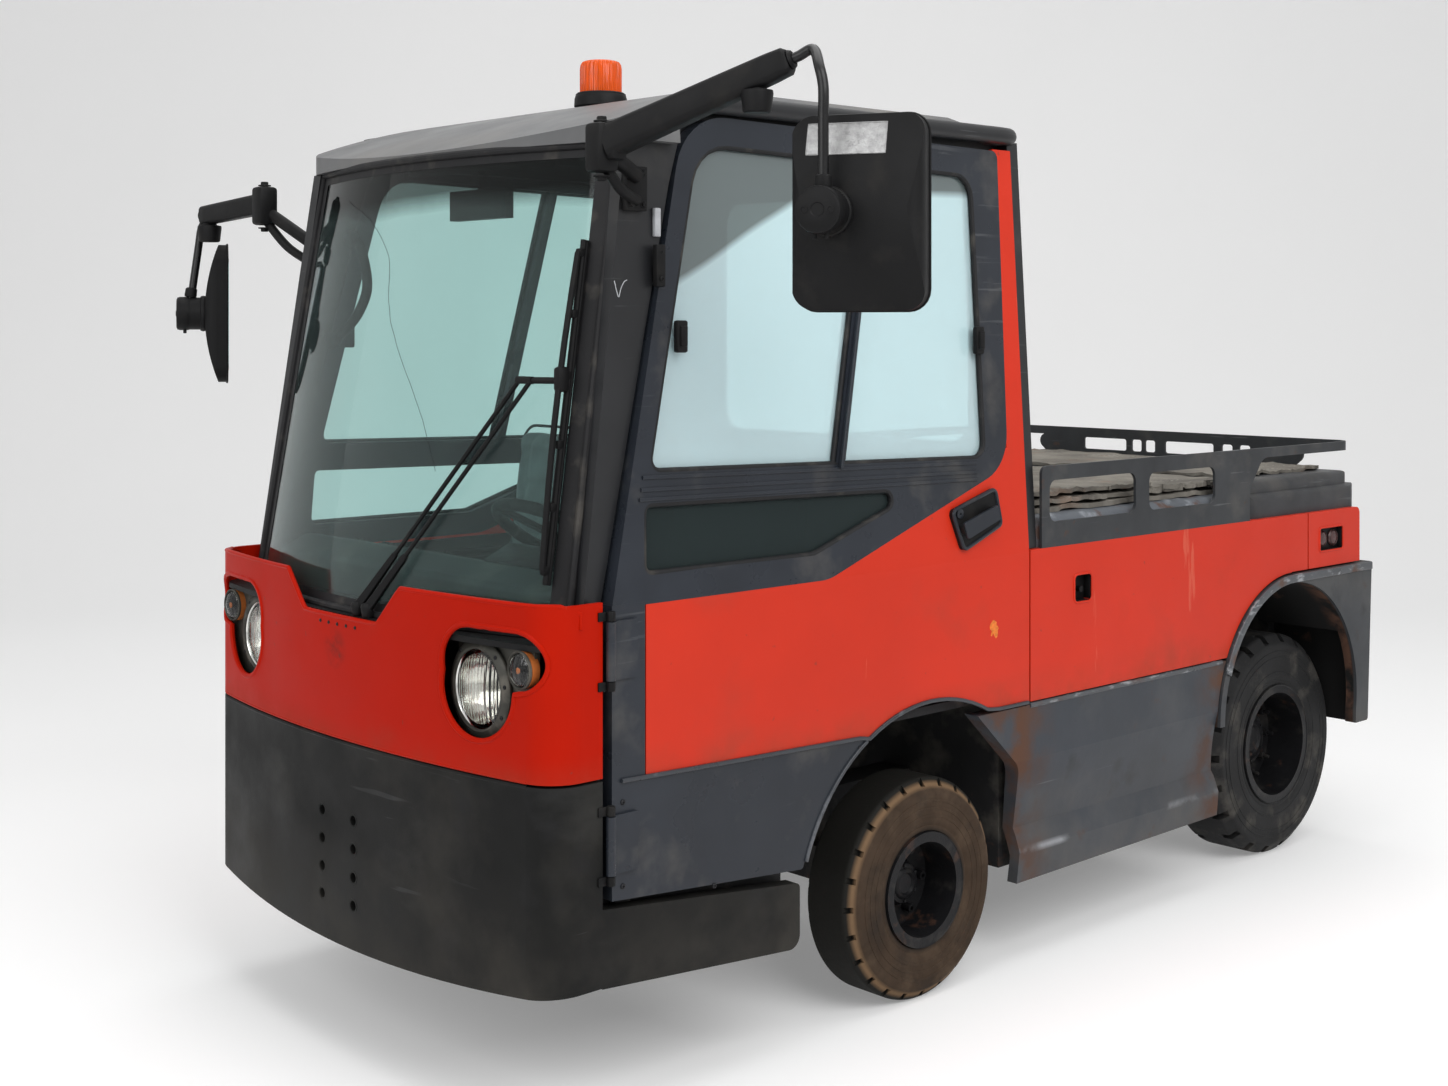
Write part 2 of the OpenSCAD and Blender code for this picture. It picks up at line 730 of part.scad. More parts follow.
module mirror_arms() {
  color([0.06, 0.06, 0.06]) place() {
    foot_l = rod_foot(mirror_left);
    foot_r = rod_foot(mirror_right);
    mirror_arm([985, 670, 1968], [830, 1040, 2112], [foot_l[0], foot_l[1], 2095], foot_l, 1930);
    mirror([0, 1, 0]) mirror_arm([931, 800, 1923], [945, 1110, 1903], [938, foot_r[1], 1890], foot_r + [0, 0, 1.7], 1830);
  }
}

// Mirror heads with domed backs and ball joints, and the small mirror inside
module mirror_head(c, w, h) {
  dome_h = 36;
  dome_r = (h * h / 4 + dome_h * dome_h) / (2 * dome_h);
  translate(c) rotate([0, 0, mirror_yaw]) translate([-mirror_face, 0, 0]) {
    intersection() {
      cross_plate(0, mirror_deep) rounded_rect([-w / 2, -h / 2], [w / 2, h / 2], 40);
      flat_plate(-h / 2, h) rounded_rect([-40, -w / 2], [mirror_deep, w / 2], 30);
      translate([mirror_deep - dome_r, w, 0]) rotate([90, 0, 0]) cylinder(r = dome_r, h = 2 * w, $fn = fine);
    }
    translate([mirror_deep - 12, mirror_ball[1], 0]) rotate([0, 90, 0]) cylinder(r = mirror_ball_r, h = 84);
  }
}
module mirror_heads() {
  color([0.05, 0.05, 0.05]) place() {
    mirror_head(mirror_left, 262, 374);
    mirror([0, 1, 0]) mirror_head(mirror_right, 262, 374);
    box([800, -110, 1850], [825, 110, 1920]);
    bar([812, 0, 1915], [812, 0, brow_ceiling_z - 0.3], 8);
  }
}

// Beacon on the roof
beacon_x = 454;
beacon_seat_z = 2174;
module beacon_base() {
  color([0.07, 0.07, 0.07]) place() difference() {
    translate([beacon_x, 0, roof_z - 40]) cylinder(r = 62, h = beacon_seat_z - roof_z + 40);
    translate([crown_x, 200, roof_z - crown_r]) rotate([90, 0, 0]) cylinder(r = crown_r, h = 400, $fn = fine);
  }
}
module beacon_lens() {
  color([0.95, 0.45, 0.05]) place() translate([beacon_x, 0, beacon_seat_z]) {
    cylinder(r = 52, h = 60);
    translate([0, 0, 60]) dome(52, 30);
  }
}

// Door hinges on the body side: pin and fork
module door_hinges() {
  color([0.1, 0.1, 0.1]) place() both_sides() for (z = hinge_z) translate([hinge_x, hinge_y, z]) {
    cylinder(r = hinge_pin_r, h = hinge_h);
    for (h = [-20, hinge_h]) translate([0, 0, h]) {
      cylinder(r = hinge_r, h = 20);
      translate([0, -8, 0]) cube([60, 8, 20]);
    }
  }
}

// Door outlines, drawn in the side view
frame_belt_z = belt_z - 2;
module door_frame_outline() {
  polygon(rounded([
    [door_front, frame_belt_z], [frame_front_x(frame_top_z), frame_top_z, 150], [door_rear + 52, frame_top_z - 14, 20],
    [door_rear + 68, 1255, 120], [350, frame_belt_z, 150]
  ]));
}
mullion_top = 128;
mullion_foot = 290;
module upper_window() {
  polygon(rounded([
    [frame_front_x(1300) - 48, 1302, 25], [frame_front_x(1994) - 50, 1994, 110], [door_rear + 155, 1976, 60],
    [door_rear + 152, 1278, 40]
  ]));
}
module mullion() {
  polygon([[mullion_foot, 1270], [mullion_foot + 26, 1270], [mullion_top + 26, 2000], [mullion_top, 2000]]);
}
module lower_window() {
  polygon(rounded([
    [frame_front_x(1093) - 76, 1093, 20], [frame_front_x(1236) - 48, 1236, 20], [0, 1219, 25], [392, 1092, 40]
  ]));
}
module front_arch() { translate([0, front_arch_z]) circle(front_arch_r); }

// Red door skin: the lower panel and the upright behind the window frame
module door_skin() {
  difference() {
    union() {
      side_plate(half_w, door_t) polygon([
        [door_front - 90, side_z + 20], [door_front - 90, belt_z], [door_rear, belt_z], [door_rear, side_z],
        [223, side_z]
      ]);
      leaning() side_plate(half_w, door_t) polygon([
        [door_rear, belt_z], [420, belt_z], [door_rear + 70, 1300], [door_rear + 70, 2046], [door_rear, 2046]
      ]);
    }
    leaning() side_plate(half_w + 20, door_t + 60) door_frame_outline();
    side_plate(half_w + 20, door_t + 60) front_arch();
  }
}

// Dark door frame: window frame, front strip and lower panel with the hinge barrels
module door_frame() {
  difference() {
    union() {
      leaning() side_plate(half_w, door_t) difference() {
        door_frame_outline();
        difference() {
          upper_window();
          mullion();
        }
        lower_window();
      }
      side_plate(half_w, door_t) difference() {
        polygon([
          [door_front, 445], [door_front, belt_z + 4], [door_front - 87, belt_z + 4], [door_front - 87, side_z + 17],
          [223, side_z - 3], [223, 500], [440, 402]
        ]);
        front_arch();
      }
      for (z = hinge_z) translate([hinge_x, hinge_y, z + 1]) {
        cylinder(r = hinge_r, h = hinge_h - 2);
        translate([-70, -8, 0]) cube([70, 8, hinge_h - 2]);
      }
    }
    for (z = hinge_z) translate([hinge_x, hinge_y, z - 1]) cylinder(r = hinge_pin_r + run_fit, h = hinge_h + 2);
  }
}

// Three panes of a door
module door_glass() {
  leaning() side_plate(half_w - 14, glass_t) {
    difference() {
      upper_window();
      mullion();
    }
    lower_window();
  }
}

// Outside handle with its back plate
module door_handle() {
  leaning() {
    side_plate(half_w + 10, 10)
      polygon(rounded([[-66, 1158, 14], [-240, 1206, 14], [-258, 1112, 14], [-106, 1058, 14]]));
    side_plate(half_w + 26, 16) polygon(rounded([[-90, 1122, 8], [-225, 1160, 8], [-232, 1136, 8], [-97, 1098, 8]]));
  }
}
module door_left_skin() { color([0.8, 0.21, 0.15]) place() door_skin(); }
module door_left_frame() { color([0.08, 0.08, 0.09]) place() door_frame(); }
module door_left_glass() { color([0.55, 0.68, 0.68]) place() door_glass(); }
module door_left_handle() { color([0.05, 0.05, 0.05]) place() door_handle(); }
module door_right_skin() { color([0.8, 0.21, 0.15]) place() mirror([0, 1, 0]) door_skin(); }
module door_right_frame() { color([0.08, 0.08, 0.09]) place() mirror([0, 1, 0]) door_frame(); }
module door_right_glass() { color([0.55, 0.68, 0.68]) place() mirror([0, 1, 0]) door_glass(); }
module door_right_handle() { color([0.05, 0.05, 0.05]) place() mirror([0, 1, 0]) door_handle(); }

// Front axle beam with a fork for each king pin
king_pin_r = 18;
fork_r = 28;
fork_z = [front_r - 92, front_r + 68];
fork_t = 24;
module front_axle() {
  color([0.15, 0.15, 0.16]) place() {
    box([-50, 60 - king_pin_y, front_r - 38], [50, king_pin_y - 60, front_r + 48]);
    both_sides() {
      box([-50, frame_rail_y, front_r + 48], [50, frame_rail_y + frame_rail_w, frame_rail_z]);
      box([-20, king_pin_y - 90, fork_z[0]], [20, king_pin_y - 50, fork_z[1] + fork_t]);
      for (z = fork_z) difference() {
        flat_plate(z, fork_t) {
          translate([-fork_r, king_pin_y - 60]) square([2 * fork_r, 60]);
          translate([0, king_pin_y]) circle(fork_r);
        }
        translate([0, king_pin_y, z - 1]) cylinder(r = king_pin_r + run_fit, h = fork_t + 2);
      }
    }
  }
}

// Steering knuckle with king pin, spindle and steering arm
spindle_r = 28;
front_spindle_end = front_wheel_y - 8;
arm_z = front_r - 60;
arm_pin_r = 8;
module knuckle() {
  knuckle_z0 = fork_z[0] + fork_t + 6;
  knuckle_z1 = fork_z[1] - 6;
  translate([0, king_pin_y, fork_z[0] - 4]) cylinder(r = king_pin_r, h = fork_z[1] - fork_z[0] + fork_t + 8);
  translate([0, king_pin_y, knuckle_z0]) cylinder(r = 30, h = knuckle_z1 - knuckle_z0);
  translate([0, king_pin_y, front_r]) rotate([-90, 0, 0]) cylinder(r = spindle_r, h = front_spindle_end - king_pin_y);
  flat_plate(knuckle_z0, 18) {
    translate([-steer_arm, king_pin_y - 18]) square([steer_arm, 36]);
    translate([-steer_arm, king_pin_y]) circle(18);
  }
  translate([-steer_arm, king_pin_y, knuckle_z0 + 10]) cylinder(r = arm_pin_r, h = 44);
}
module knuckle_left() { color([0.15, 0.15, 0.16]) place() knuckle(); }
module knuckle_right() { color([0.15, 0.15, 0.16]) place() mirror([0, 1, 0]) knuckle(); }

// Tie rod between the steering arms, open at the right pin
open_pin_gap = 3;
module tie_rod() {
  rod_z = fork_z[0] + fork_t + 26;
  color([0.2, 0.2, 0.2]) place() difference() {
    union() {
      for (y = [-king_pin_y, king_pin_y]) translate([-steer_arm, y, rod_z]) cylinder(r = 20, h = 26);
      bar([-steer_arm, -king_pin_y + 12, rod_z + 13], [-steer_arm, king_pin_y - 12, rod_z + 13], 12);
    }
    translate([-steer_arm, king_pin_y, rod_z - 1]) cylinder(r = arm_pin_r + run_fit, h = 40);
    translate([-steer_arm, -king_pin_y, rod_z - 1]) cylinder(r = arm_pin_r + open_pin_gap, h = 40);
  }
}

// Rear axle with the drive housing and a spindle for each wheel
rear_spindle_r = 45;
rear_spindle_end = rear_wheel_y - 10;
module rear_axle() {
  axle_end = rear_wheel_y - rear_tyre_w / 2 - 14;
  color([0.13, 0.13, 0.14]) place() translate([-wheelbase, 0, rear_r]) {
    rotate([90, 0, 0]) translate([0, 0, -axle_end]) cylinder(r = 85, h = 2 * axle_end);
    rotate([90, 0, 0]) translate([0, 0, -rear_spindle_end]) cylinder(r = rear_spindle_r, h = 2 * rear_spindle_end);
    rotate([90, 0, 0]) translate([0, 0, -130]) cylinder(r = 160, h = 260);
    both_sides() box([-90, frame_rail_y, 0], [90, frame_rail_y + frame_rail_w, 440 - rear_r]);
  }
}

// A tyre about the Y axis, with cuts across its shoulders
module tyre(r, w, bead_r, cuts, cut_w, cut_d, cut_len) {
  half = w / 2;
  rotate([90, 0, 0]) difference() {
    rotate_extrude() polygon(rounded([
      [bead_r, half - 9], [bead_r + 18, half - 9], [bead_r + 40, half, 30], [r - 30, half, 20], [r, half - 24, 14],
      [r, 24 - half, 14], [r - 30, -half, 20], [bead_r + 40, -half, 30], [bead_r + 18, 9 - half], [bead_r, 9 - half]
    ]));
    for (s = [-1, 1], i = [0:cuts - 1]) rotate([0, 0, (i + (s + 1) / 4) * 360 / cuts])
      translate([r - cut_d, -cut_w / 2, s > 0 ? half - cut_len : -half - 1]) cube([cut_d + 10, cut_w, cut_len + 1]);
  }
}

// A dished rim about the Y axis, its outside towards +Y
module rim(w, bead_r, flange_r, disc_y, hub_r, bore_r, nuts, nut_ring) {
  half = w / 2;
  difference() {
    rotate([-90, 0, 0]) {
      rotate_extrude() polygon([
        [bead_r - 10, 8 - half], [bead_r - 10, -half], [flange_r, -half], [flange_r, 8 - half], [bead_r, 8 - half],
        [bead_r, half - 8], [flange_r, half - 8], [flange_r, half], [bead_r - 10, half], [bead_r - 10, disc_y + 26],
        [hub_r, disc_y + 12], [hub_r, disc_y + 40], [hub_r - 16, disc_y + 56], [0, disc_y + 56], [0, disc_y - 18],
        [hub_r, disc_y - 18], [hub_r, disc_y], [bead_r - 10, disc_y + 12]
      ]);
      for (i = [0:nuts - 1]) rotate([0, 0, i * 360 / nuts]) translate([nut_ring, 0, disc_y + 10]) cylinder(r = 11, h = 34);
    }
    rotate([-90, 0, 0]) translate([0, 0, -half]) cylinder(r = bore_r, h = half + disc_y + 40);
  }
}
front_bead_r = 122;
front_disc_y = -44;
module front_tyre() {
  tyre(front_r, front_tyre_w, front_bead_r, front_notches, 14, 20, 24);
}
module front_rim() {
  rim(front_tyre_w, front_bead_r, 136, front_disc_y, 54, spindle_r + run_fit, 6, 82);
}
rear_bead_r = 164;
rear_disc_y = -50;
module rear_tyre() {
  tyre(rear_r, rear_tyre_w, rear_bead_r, rear_lugs, 22, 24, 52);
}
module rear_rim() {
  rim(rear_tyre_w, rear_bead_r, 180, rear_disc_y, 86, rear_spindle_r + run_fit, 10, 118);
}
module at_front() { place() translate([0, front_wheel_y, front_r]) children(); }
module at_rear() { place() translate([-wheelbase, rear_wheel_y, rear_r]) children(); }
module front_left_tyre() { color([0.28, 0.22, 0.18]) at_front() front_tyre(); }
module front_left_rim() { color([0.2, 0.2, 0.21]) at_front() front_rim(); }
module front_right_tyre() { color([0.28, 0.22, 0.18]) mirror([0, 1, 0]) at_front() front_tyre(); }
module front_right_rim() { color([0.2, 0.2, 0.21]) mirror([0, 1, 0]) at_front() front_rim(); }
module rear_left_tyre() { color([0.1, 0.1, 0.1]) at_rear() rear_tyre(); }
module rear_left_rim() { color([0.2, 0.2, 0.21]) at_rear() rear_rim(); }
module rear_right_tyre() { color([0.1, 0.1, 0.1]) mirror([0, 1, 0]) at_rear() rear_tyre(); }
module rear_right_rim() { color([0.2, 0.2, 0.21]) mirror([0, 1, 0]) at_rear() rear_rim(); }

chassis_frame();
front_apron();
front_panel();
cowl();
headlamps();
lamp_lenses();
side_skirts();
rear_side_panels();
rear_fenders();
rear_plate();
tow_coupling();
deck_cover();
deck_mats();
rear_hood();
deck_rails();
battery();
cab_frame();
cab_roof();
cab_rear_wall();
cab_glass();
cab_floor();
dashboard();
seats();
wiper();
mirror_arms();
mirror_heads();
beacon_base();
beacon_lens();
door_hinges();
front_axle();
rear_axle();
steering_wheel();
door_left_skin();
door_left_frame();
door_left_glass();
door_left_handle();
door_right_skin();
door_right_frame();
door_right_glass();
door_right_handle();
knuckle_left();
knuckle_right();
tie_rod();
front_left_tyre();
front_left_rim();
front_right_tyre();
front_right_rim();
rear_left_tyre();
rear_left_rim();
rear_right_tyre();
rear_right_rim();
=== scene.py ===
"""Looks of the electric tow tractor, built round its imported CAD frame."""
from math import atan2, cos, exp, pi, radians, sin, sqrt, tan
import bmesh
import bpy
from mathutils import Matrix, Vector, noise


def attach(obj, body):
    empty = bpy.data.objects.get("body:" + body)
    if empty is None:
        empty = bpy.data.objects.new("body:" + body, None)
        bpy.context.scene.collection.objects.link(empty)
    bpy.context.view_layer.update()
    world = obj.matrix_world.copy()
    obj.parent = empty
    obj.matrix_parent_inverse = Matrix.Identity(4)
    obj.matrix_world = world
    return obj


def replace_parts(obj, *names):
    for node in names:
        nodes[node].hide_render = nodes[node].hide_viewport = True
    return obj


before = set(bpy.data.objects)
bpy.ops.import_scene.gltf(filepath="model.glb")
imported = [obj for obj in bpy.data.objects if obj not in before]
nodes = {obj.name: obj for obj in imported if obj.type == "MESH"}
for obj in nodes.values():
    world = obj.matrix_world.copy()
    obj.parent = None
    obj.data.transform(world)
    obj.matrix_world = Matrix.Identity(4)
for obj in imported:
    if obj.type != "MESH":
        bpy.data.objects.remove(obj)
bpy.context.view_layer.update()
scene = bpy.context.scene

SIDES = (("left", 1), ("right", -1))
X, Y, Z = (Vector(v) for v in ((1, 0, 0), (0, 1, 0), (0, 0, 1)))

# Main sizes, in millimetres, X from the front axle
FRONT_AXLE = 487
FRONT_R, REAR_R = 262, 331
WHEELBASE = 1717
HALF = 683
BELT = 1035
TUMBLE, RAKE, PILLAR_LEAN = radians(3.45), radians(10), radians(2.06)
PILLAR_INSET = 28
SCREEN_X, SCREEN_R = 1150, 1720
NOSE_X, NOSE_R, NOSE_HALF = -2122, 3320, 613.7
CORNER_X, CORNER_Y, CORNER_R = 1057.25, 598, 85


def vec(*p):
    """A vector in metres."""
    return Vector(p)


def V(x, y, z):
    """A point in metres in the CAD frame from millimetres with X from the front axle."""
    return vec((x + FRONT_AXLE) / 1000, y / 1000, z / 1000)


def front_x(y, out=0.0):
    """X of the bowed front at a half width y, moved out by some millimetres."""
    a = abs(y)
    if a < NOSE_HALF:
        return NOSE_X + sqrt((NOSE_R + out) ** 2 - a * a)
    return CORNER_X + sqrt(max((CORNER_R + out) ** 2 - (a - CORNER_Y) ** 2, 0))


def linked(name, data):
    """A new object in the scene."""
    ob = bpy.data.objects.new(name, data)
    scene.collection.objects.link(ob)
    return ob


def mesh_of(name, bm):
    me = bpy.data.meshes.new(name)
    bm.to_mesh(me)
    bm.free()
    return me


def arc(x, z, r, degrees):
    """Points of an arc in a flat view."""
    return [(x + r * cos(radians(t)), z + r * sin(radians(t))) for t in degrees]


def door(x, y_out, z, side=1):
    """A point on the leaning upper door, y_out outside its outer face."""
    dz = z - BELT
    if dz < 0:
        return V(x, side * (HALF + y_out), z)
    y = HALF + y_out * cos(TUMBLE) - dz * sin(TUMBLE)
    return V(x, side * y, BELT + y_out * sin(TUMBLE) + dz * cos(TUMBLE))


def screen(y, z, out=0.0):
    """A point on the outer face of the windscreen, moved out by some millimetres."""
    r = SCREEN_R + out
    xl = -SCREEN_R + sqrt(r * r - y * y)
    h = (z - BELT - xl * sin(RAKE)) / cos(RAKE)
    return V(SCREEN_X + xl * cos(RAKE) - h * sin(RAKE), y, z)


def pillar_y(z):
    """Half width of the cab over its front pillars."""
    return HALF - PILLAR_INSET - (z - BELT) * tan(PILLAR_LEAN)


# Camera at the photograph's viewpoint
cam_data = bpy.data.cameras.new("camera")
cam = scene.camera = linked("camera", cam_data)
cam_data.sensor_width = 36
cam_data.lens = 45.84
cam_data.shift_y = -0.1494
cam_data.clip_end = 200
yaw = radians(47.19)
view_dir = vec(-cos(yaw), -sin(yaw), 0)
cam.location = V(3329.6, 3552.7, 1600)
cam.rotation_euler = view_dir.to_track_quat("-Z", "Y").to_euler()


# Materials
class Mat:
    """A principled material, known by a key, that is put together from procedural layers."""
    made = []

    def __init__(self, key, name, colour, rough=0.5, metal=0.0, spec=0.25, **sockets):
        self.key = key
        self.made.append(self)
        self.m = bpy.data.materials.new(name)
        self.m.use_nodes = True
        self.t = self.m.node_tree
        self.b = self.t.nodes["Principled BSDF"]
        for key, value in dict(sockets, Metallic=metal, Specular_IOR_Level=spec).items():
            self.b.inputs[key.replace("_", " ")].default_value = value
        self.coord = self.node("ShaderNodeTexCoord").outputs["Object"]
        self.colour = (*colour, 1)
        self.rough = rough
        self.height = None

    def node(self, kind, *values, **settings):
        n = self.t.nodes.new(kind)
        for key, value in settings.items():
            setattr(n, key, value)
        for i, value in enumerate(values):
            self.put(n.inputs[i], value)
        return n

    def put(self, socket, value):
        if isinstance(value, bpy.types.NodeSocket):
            self.t.links.new(value, socket)
        else:
            socket.default_value = value

    def calc(self, op, a, b=0.0):
        return self.node("ShaderNodeMath", a, b, operation=op).outputs[0]

    def times(self, a, *more):
        for b in more:
            a = self.calc("MULTIPLY", a, b)
        return a

    def mix(self, fac, a, b, kind="RGBA"):
        n = self.node("ShaderNodeMix", data_type=kind)
        first, out = (6, 2) if kind == "RGBA" else (2, 0)
        for i, v in ((0, fac), (first, a), (first + 1, b)):
            self.put(n.inputs[i], v)
        return n.outputs[out]

    def noise(self, scale, detail=4.0, stretch=None):
        vec = self.coord
        if stretch:
            vec = self.node("ShaderNodeMapping", vec, vector_type="POINT")
            vec.inputs["Scale"].default_value = stretch
            vec = vec.outputs[0]
        n = self.node("ShaderNodeTexNoise")
        for key, v in (("Vector", vec), ("Scale", scale), ("Detail", detail), ("Roughness", 0.55)):
            self.put(n.inputs[key], v)
        return n.outputs[0]

    def band(self, value, low, high, top=1.0):
        return self.node("ShaderNodeMapRange", value, low, high, 0.0, top).outputs[0]

    def axis(self, i):
        return self.node("ShaderNodeSeparateXYZ", self.coord).outputs[i]

    def vary(self, amount, scale=4.0, detail=5.0):
        n = self.band(self.noise(scale, detail), 0.3, 0.7)
        c = self.colour
        dark = [v * (1 - amount) for v in c[:3]] + [1]
        light = [min(v * (1 + amount), 1) for v in c[:3]] + [1]
        self.colour = self.mix(n, dark, light)
        return self

    def layer(self, mask, colour, rough=None):
        self.colour = self.mix(mask, self.colour, (*colour, 1))
        if rough is not None:
            self.rough = self.mix(mask, self.rough, rough, "FLOAT")
        return self

    def spots(self, colour, amount, scale=5.0, low=0.56, high=0.72, stretch=None, rough=None):
        return self.layer(self.band(self.noise(scale, 8.0, stretch), low, high, amount), colour, rough)

    def dust(self, *amounts, **more):
        return self.spots(DUST, *amounts, **more)

    def rust(self, *amounts, **more):
        return self.spots(RUST, *amounts, **more)

    def below(self, colour, z0, z1, amount, scale=7.0, rough=0.85):
        """Dirt that gets thicker from height z1 down to z0, in metres."""
        fall = self.band(self.axis(2), z1, z0, 1.0)
        rag = self.band(self.noise(scale, 8.0), 0.3, 0.7, 1.0)
        return self.layer(self.times(fall, rag, amount), colour, rough)

    def scratches(self, amount, stretch=(3, 3, 90), scale=1.6, low=0.64, colour=None):
        line = self.band(self.noise(scale, 3.0, stretch), low, low + 0.03)
        part = self.band(self.noise(2.3, 3.0), 0.52, 0.62)
        return self.layer(self.times(line, part, amount), colour or PALE)

    def bump(self, scale, distance, detail=3.0, strength=1.0, stretch=None):
        n = self.node("ShaderNodeBump")
        n.inputs["Strength"].default_value = strength
        n.inputs["Distance"].default_value = distance
        self.put(n.inputs["Height"], self.noise(scale, detail, stretch))
        if self.height is not None:
            self.put(n.inputs["Normal"], self.height)
        self.height = n.outputs[0]
        return self

    def shine(self, amount, scale=9.0):
        """Uneven gloss."""
        low, high = max(self.rough - amount, 0.02), min(self.rough + amount, 1)
        self.rough = self.node("ShaderNodeMapRange", self.noise(scale, 6.0), 0.3, 0.7, low, high).outputs[0]
        return self

    def done(self):
        self.put(self.b.inputs["Base Color"], self.colour)
        self.put(self.b.inputs["Roughness"], self.rough)
        if self.height is not None:
            self.put(self.b.inputs["Normal"], self.height)
        return self.m


DUST = (0.22, 0.2, 0.17)
RUST = (0.1, 0.05, 0.032)
SHADOW = (0.006, 0.006, 0.006)
PALE = (0.3, 0.31, 0.32)
# Pale grey for the skirt's step crease: scuffed paint and painted highlight together.
LEDGE_SCUFF_AND_HIGHLIGHT = (0.3, 0.31, 0.33)
SOOT, SOOT_SPOT = (0.03, 0.015, 0.012), (1.685, -0.012, 0.893)


def red_paint(key, name, colour, spec):
    m = Mat(key, name, colour, 0.38, spec=spec).vary(0.07, 2.2)
    m.shine(0.08, 6)
    m.spots((0.3, 0.05, 0.03), 0.35, 3.0, 0.58, 0.75)
    m.spots((0.12, 0.05, 0.04), 0.5, 38.0, 0.68, 0.74)
    m.spots((0.7, 0.2, 0.12), 0.3, 2.2, 0.7, 0.73, (9, 9, 1.2))
    m.below((0.2, 0.06, 0.035), 0.64, 0.75, 0.55, 12)
    far = m.node("ShaderNodeVectorMath", m.coord, SOOT_SPOT, operation="DISTANCE").outputs["Value"]
    m.layer(m.times(m.band(far, 0.05, 0.008), m.band(m.noise(40, 6), 0.35, 0.6, 0.7)), SOOT)
    m.bump(2.0, 0.006, 2.0, 0.25).bump(420, 0.0002, 2.0, 0.3)


def grey_paint(key, name, colour, rough=0.42, dirt=0.5, spec=0.25):
    m = Mat(key, name, colour, rough, spec=spec).vary(0.16, 3.0)
    m.shine(0.1, 7)
    m.dust(0.3 * dirt, 4.0, 0.52, 0.78, rough=0.75)
    m.spots((0.015, 0.015, 0.016), 0.6, 6.0, 0.58, 0.68)
    m.scratches(0.14, (2, 2, 30), 1.4, 0.7)
    m.below(DUST, 0.2, 0.5, 0.5 * dirt)
    return m


red_paint("red", "red_paint_worn", (0.57, 0.03, 0.011), 0.17)
# The front panel takes a darker copy of the same red paint: painted shade, for the front that gets less
# light than the sides.
red_paint("front_red", "front_red_paint_worn", (0.42, 0.009, 0.001), 0.06)
apron = grey_paint("apron", "apron_paint_worn", (0.009, 0.0092, 0.009), 0.5, 0.3, 0.1)
apron.spots((0.07, 0.07, 0.066), 0.3, 2.4, 0.6, 0.8, (1, 1, 2.5))
apron.bump(2.2, 0.008, 2, 0.3).bump(160, 0.0006, 2, 0.25)
skirt = grey_paint("skirt", "skirt_paint_worn", (0.036, 0.041, 0.05), 0.4, 0.6)
ends = skirt.calc("MAXIMUM", skirt.band(skirt.axis(0), 0.0, 0.145), skirt.band(skirt.axis(0), -0.6, -0.76))
ends = skirt.times(ends, skirt.band(skirt.noise(9, 8), 0.42, 0.6))
skirt.layer(ends, RUST, 0.9)
skirt.rust(0.3, 11.0, 0.66, 0.72, rough=0.9)
# A pale, glossier line along the step crease 284 mm up: partly scuffed paint, partly a painted highlight on
# the crease.
ledge_scuff_and_highlight = skirt.calc("SUBTRACT", skirt.axis(2), 0.284)
ledge_scuff_and_highlight = skirt.band(skirt.calc("ABSOLUTE", ledge_scuff_and_highlight), 0.012, 0.002)
skirt.layer(skirt.times(ledge_scuff_and_highlight, skirt.band(skirt.noise(5, 6), 0.5, 0.68, 0.8)), LEDGE_SCUFF_AND_HIGHLIGHT, 0.4)
skirt.bump(2.5, 0.006, 2, 0.3).bump(60, 0.0012, 5, 0.2)
fender = grey_paint("fender", "fender_paint_worn", (0.04, 0.043, 0.048), 0.45, 0.7)
wide = fender.calc("ABSOLUTE", fender.axis(1))
inner = fender.band(wide, 0.682, 0.676)
fender.layer(inner, SHADOW, 0.8)
edge = fender.times(inner, fender.band(wide, 0.62, 0.672))
fender.layer(fender.times(edge, fender.band(fender.noise(16, 8), 0.4, 0.6)), RUST, 0.92)
fender.rust(0.4, 13.0, 0.64, 0.72, rough=0.9)
fender.bump(50, 0.001, 5, 0.2)
# Pale patches along the fender and skirt lips: partly worn metal, partly a painted highlight along the lip.
Mat("lip", "lip_wear_and_painted_highlight", (0.05, 0.055, 0.062), 0.34, spec=0.5).vary(0.2, 9).shine(0.1).spots(
    (0.34, 0.35, 0.37), 0.75, 9, 0.54, 0.66, (2, 6, 6)).rust(0.8, 7, 0.6, 0.68, rough=0.9).bump(
    90, 0.001, 4, 0.4)
# Pale patches on the door lip: partly worn paint, partly a painted highlight line.
Mat("door_lip", "door_lip_satin_painted_highlight", (0.03, 0.034, 0.041), 0.3, spec=0.4).vary(0.2, 9).shine(0.08).spots(
    (0.2, 0.21, 0.23), 0.6, 8, 0.56, 0.68)
Mat("rod", "rod_gloss", (0.006, 0.006, 0.0065), 0.28, spec=0.3).vary(0.2, 9).shine(0.06)
Mat("pale", "pale_moulding", (0.42, 0.43, 0.45), 0.5).vary(0.15, 30).spots((0.1, 0.1, 0.1), 0.4, 40)
Mat("black", "black_paint_satin", (0.012, 0.0125, 0.014), 0.38, spec=0.35).vary(0.2, 5).shine(0.08).dust(
    0.1, 6, 0.6, 0.8, rough=0.7).scratches(0.1, (3, 3, 80)).bump(300, 0.0002, 2, 0.3)
Mat("frame", "door_frame_satin", (0.0185, 0.022, 0.029), 0.32, spec=0.26).vary(0.18, 5).shine(0.08).dust(
    0.2, 7, 0.56, 0.75, rough=0.7).scratches(0.12, (3, 3, 60), 1.4, 0.62)
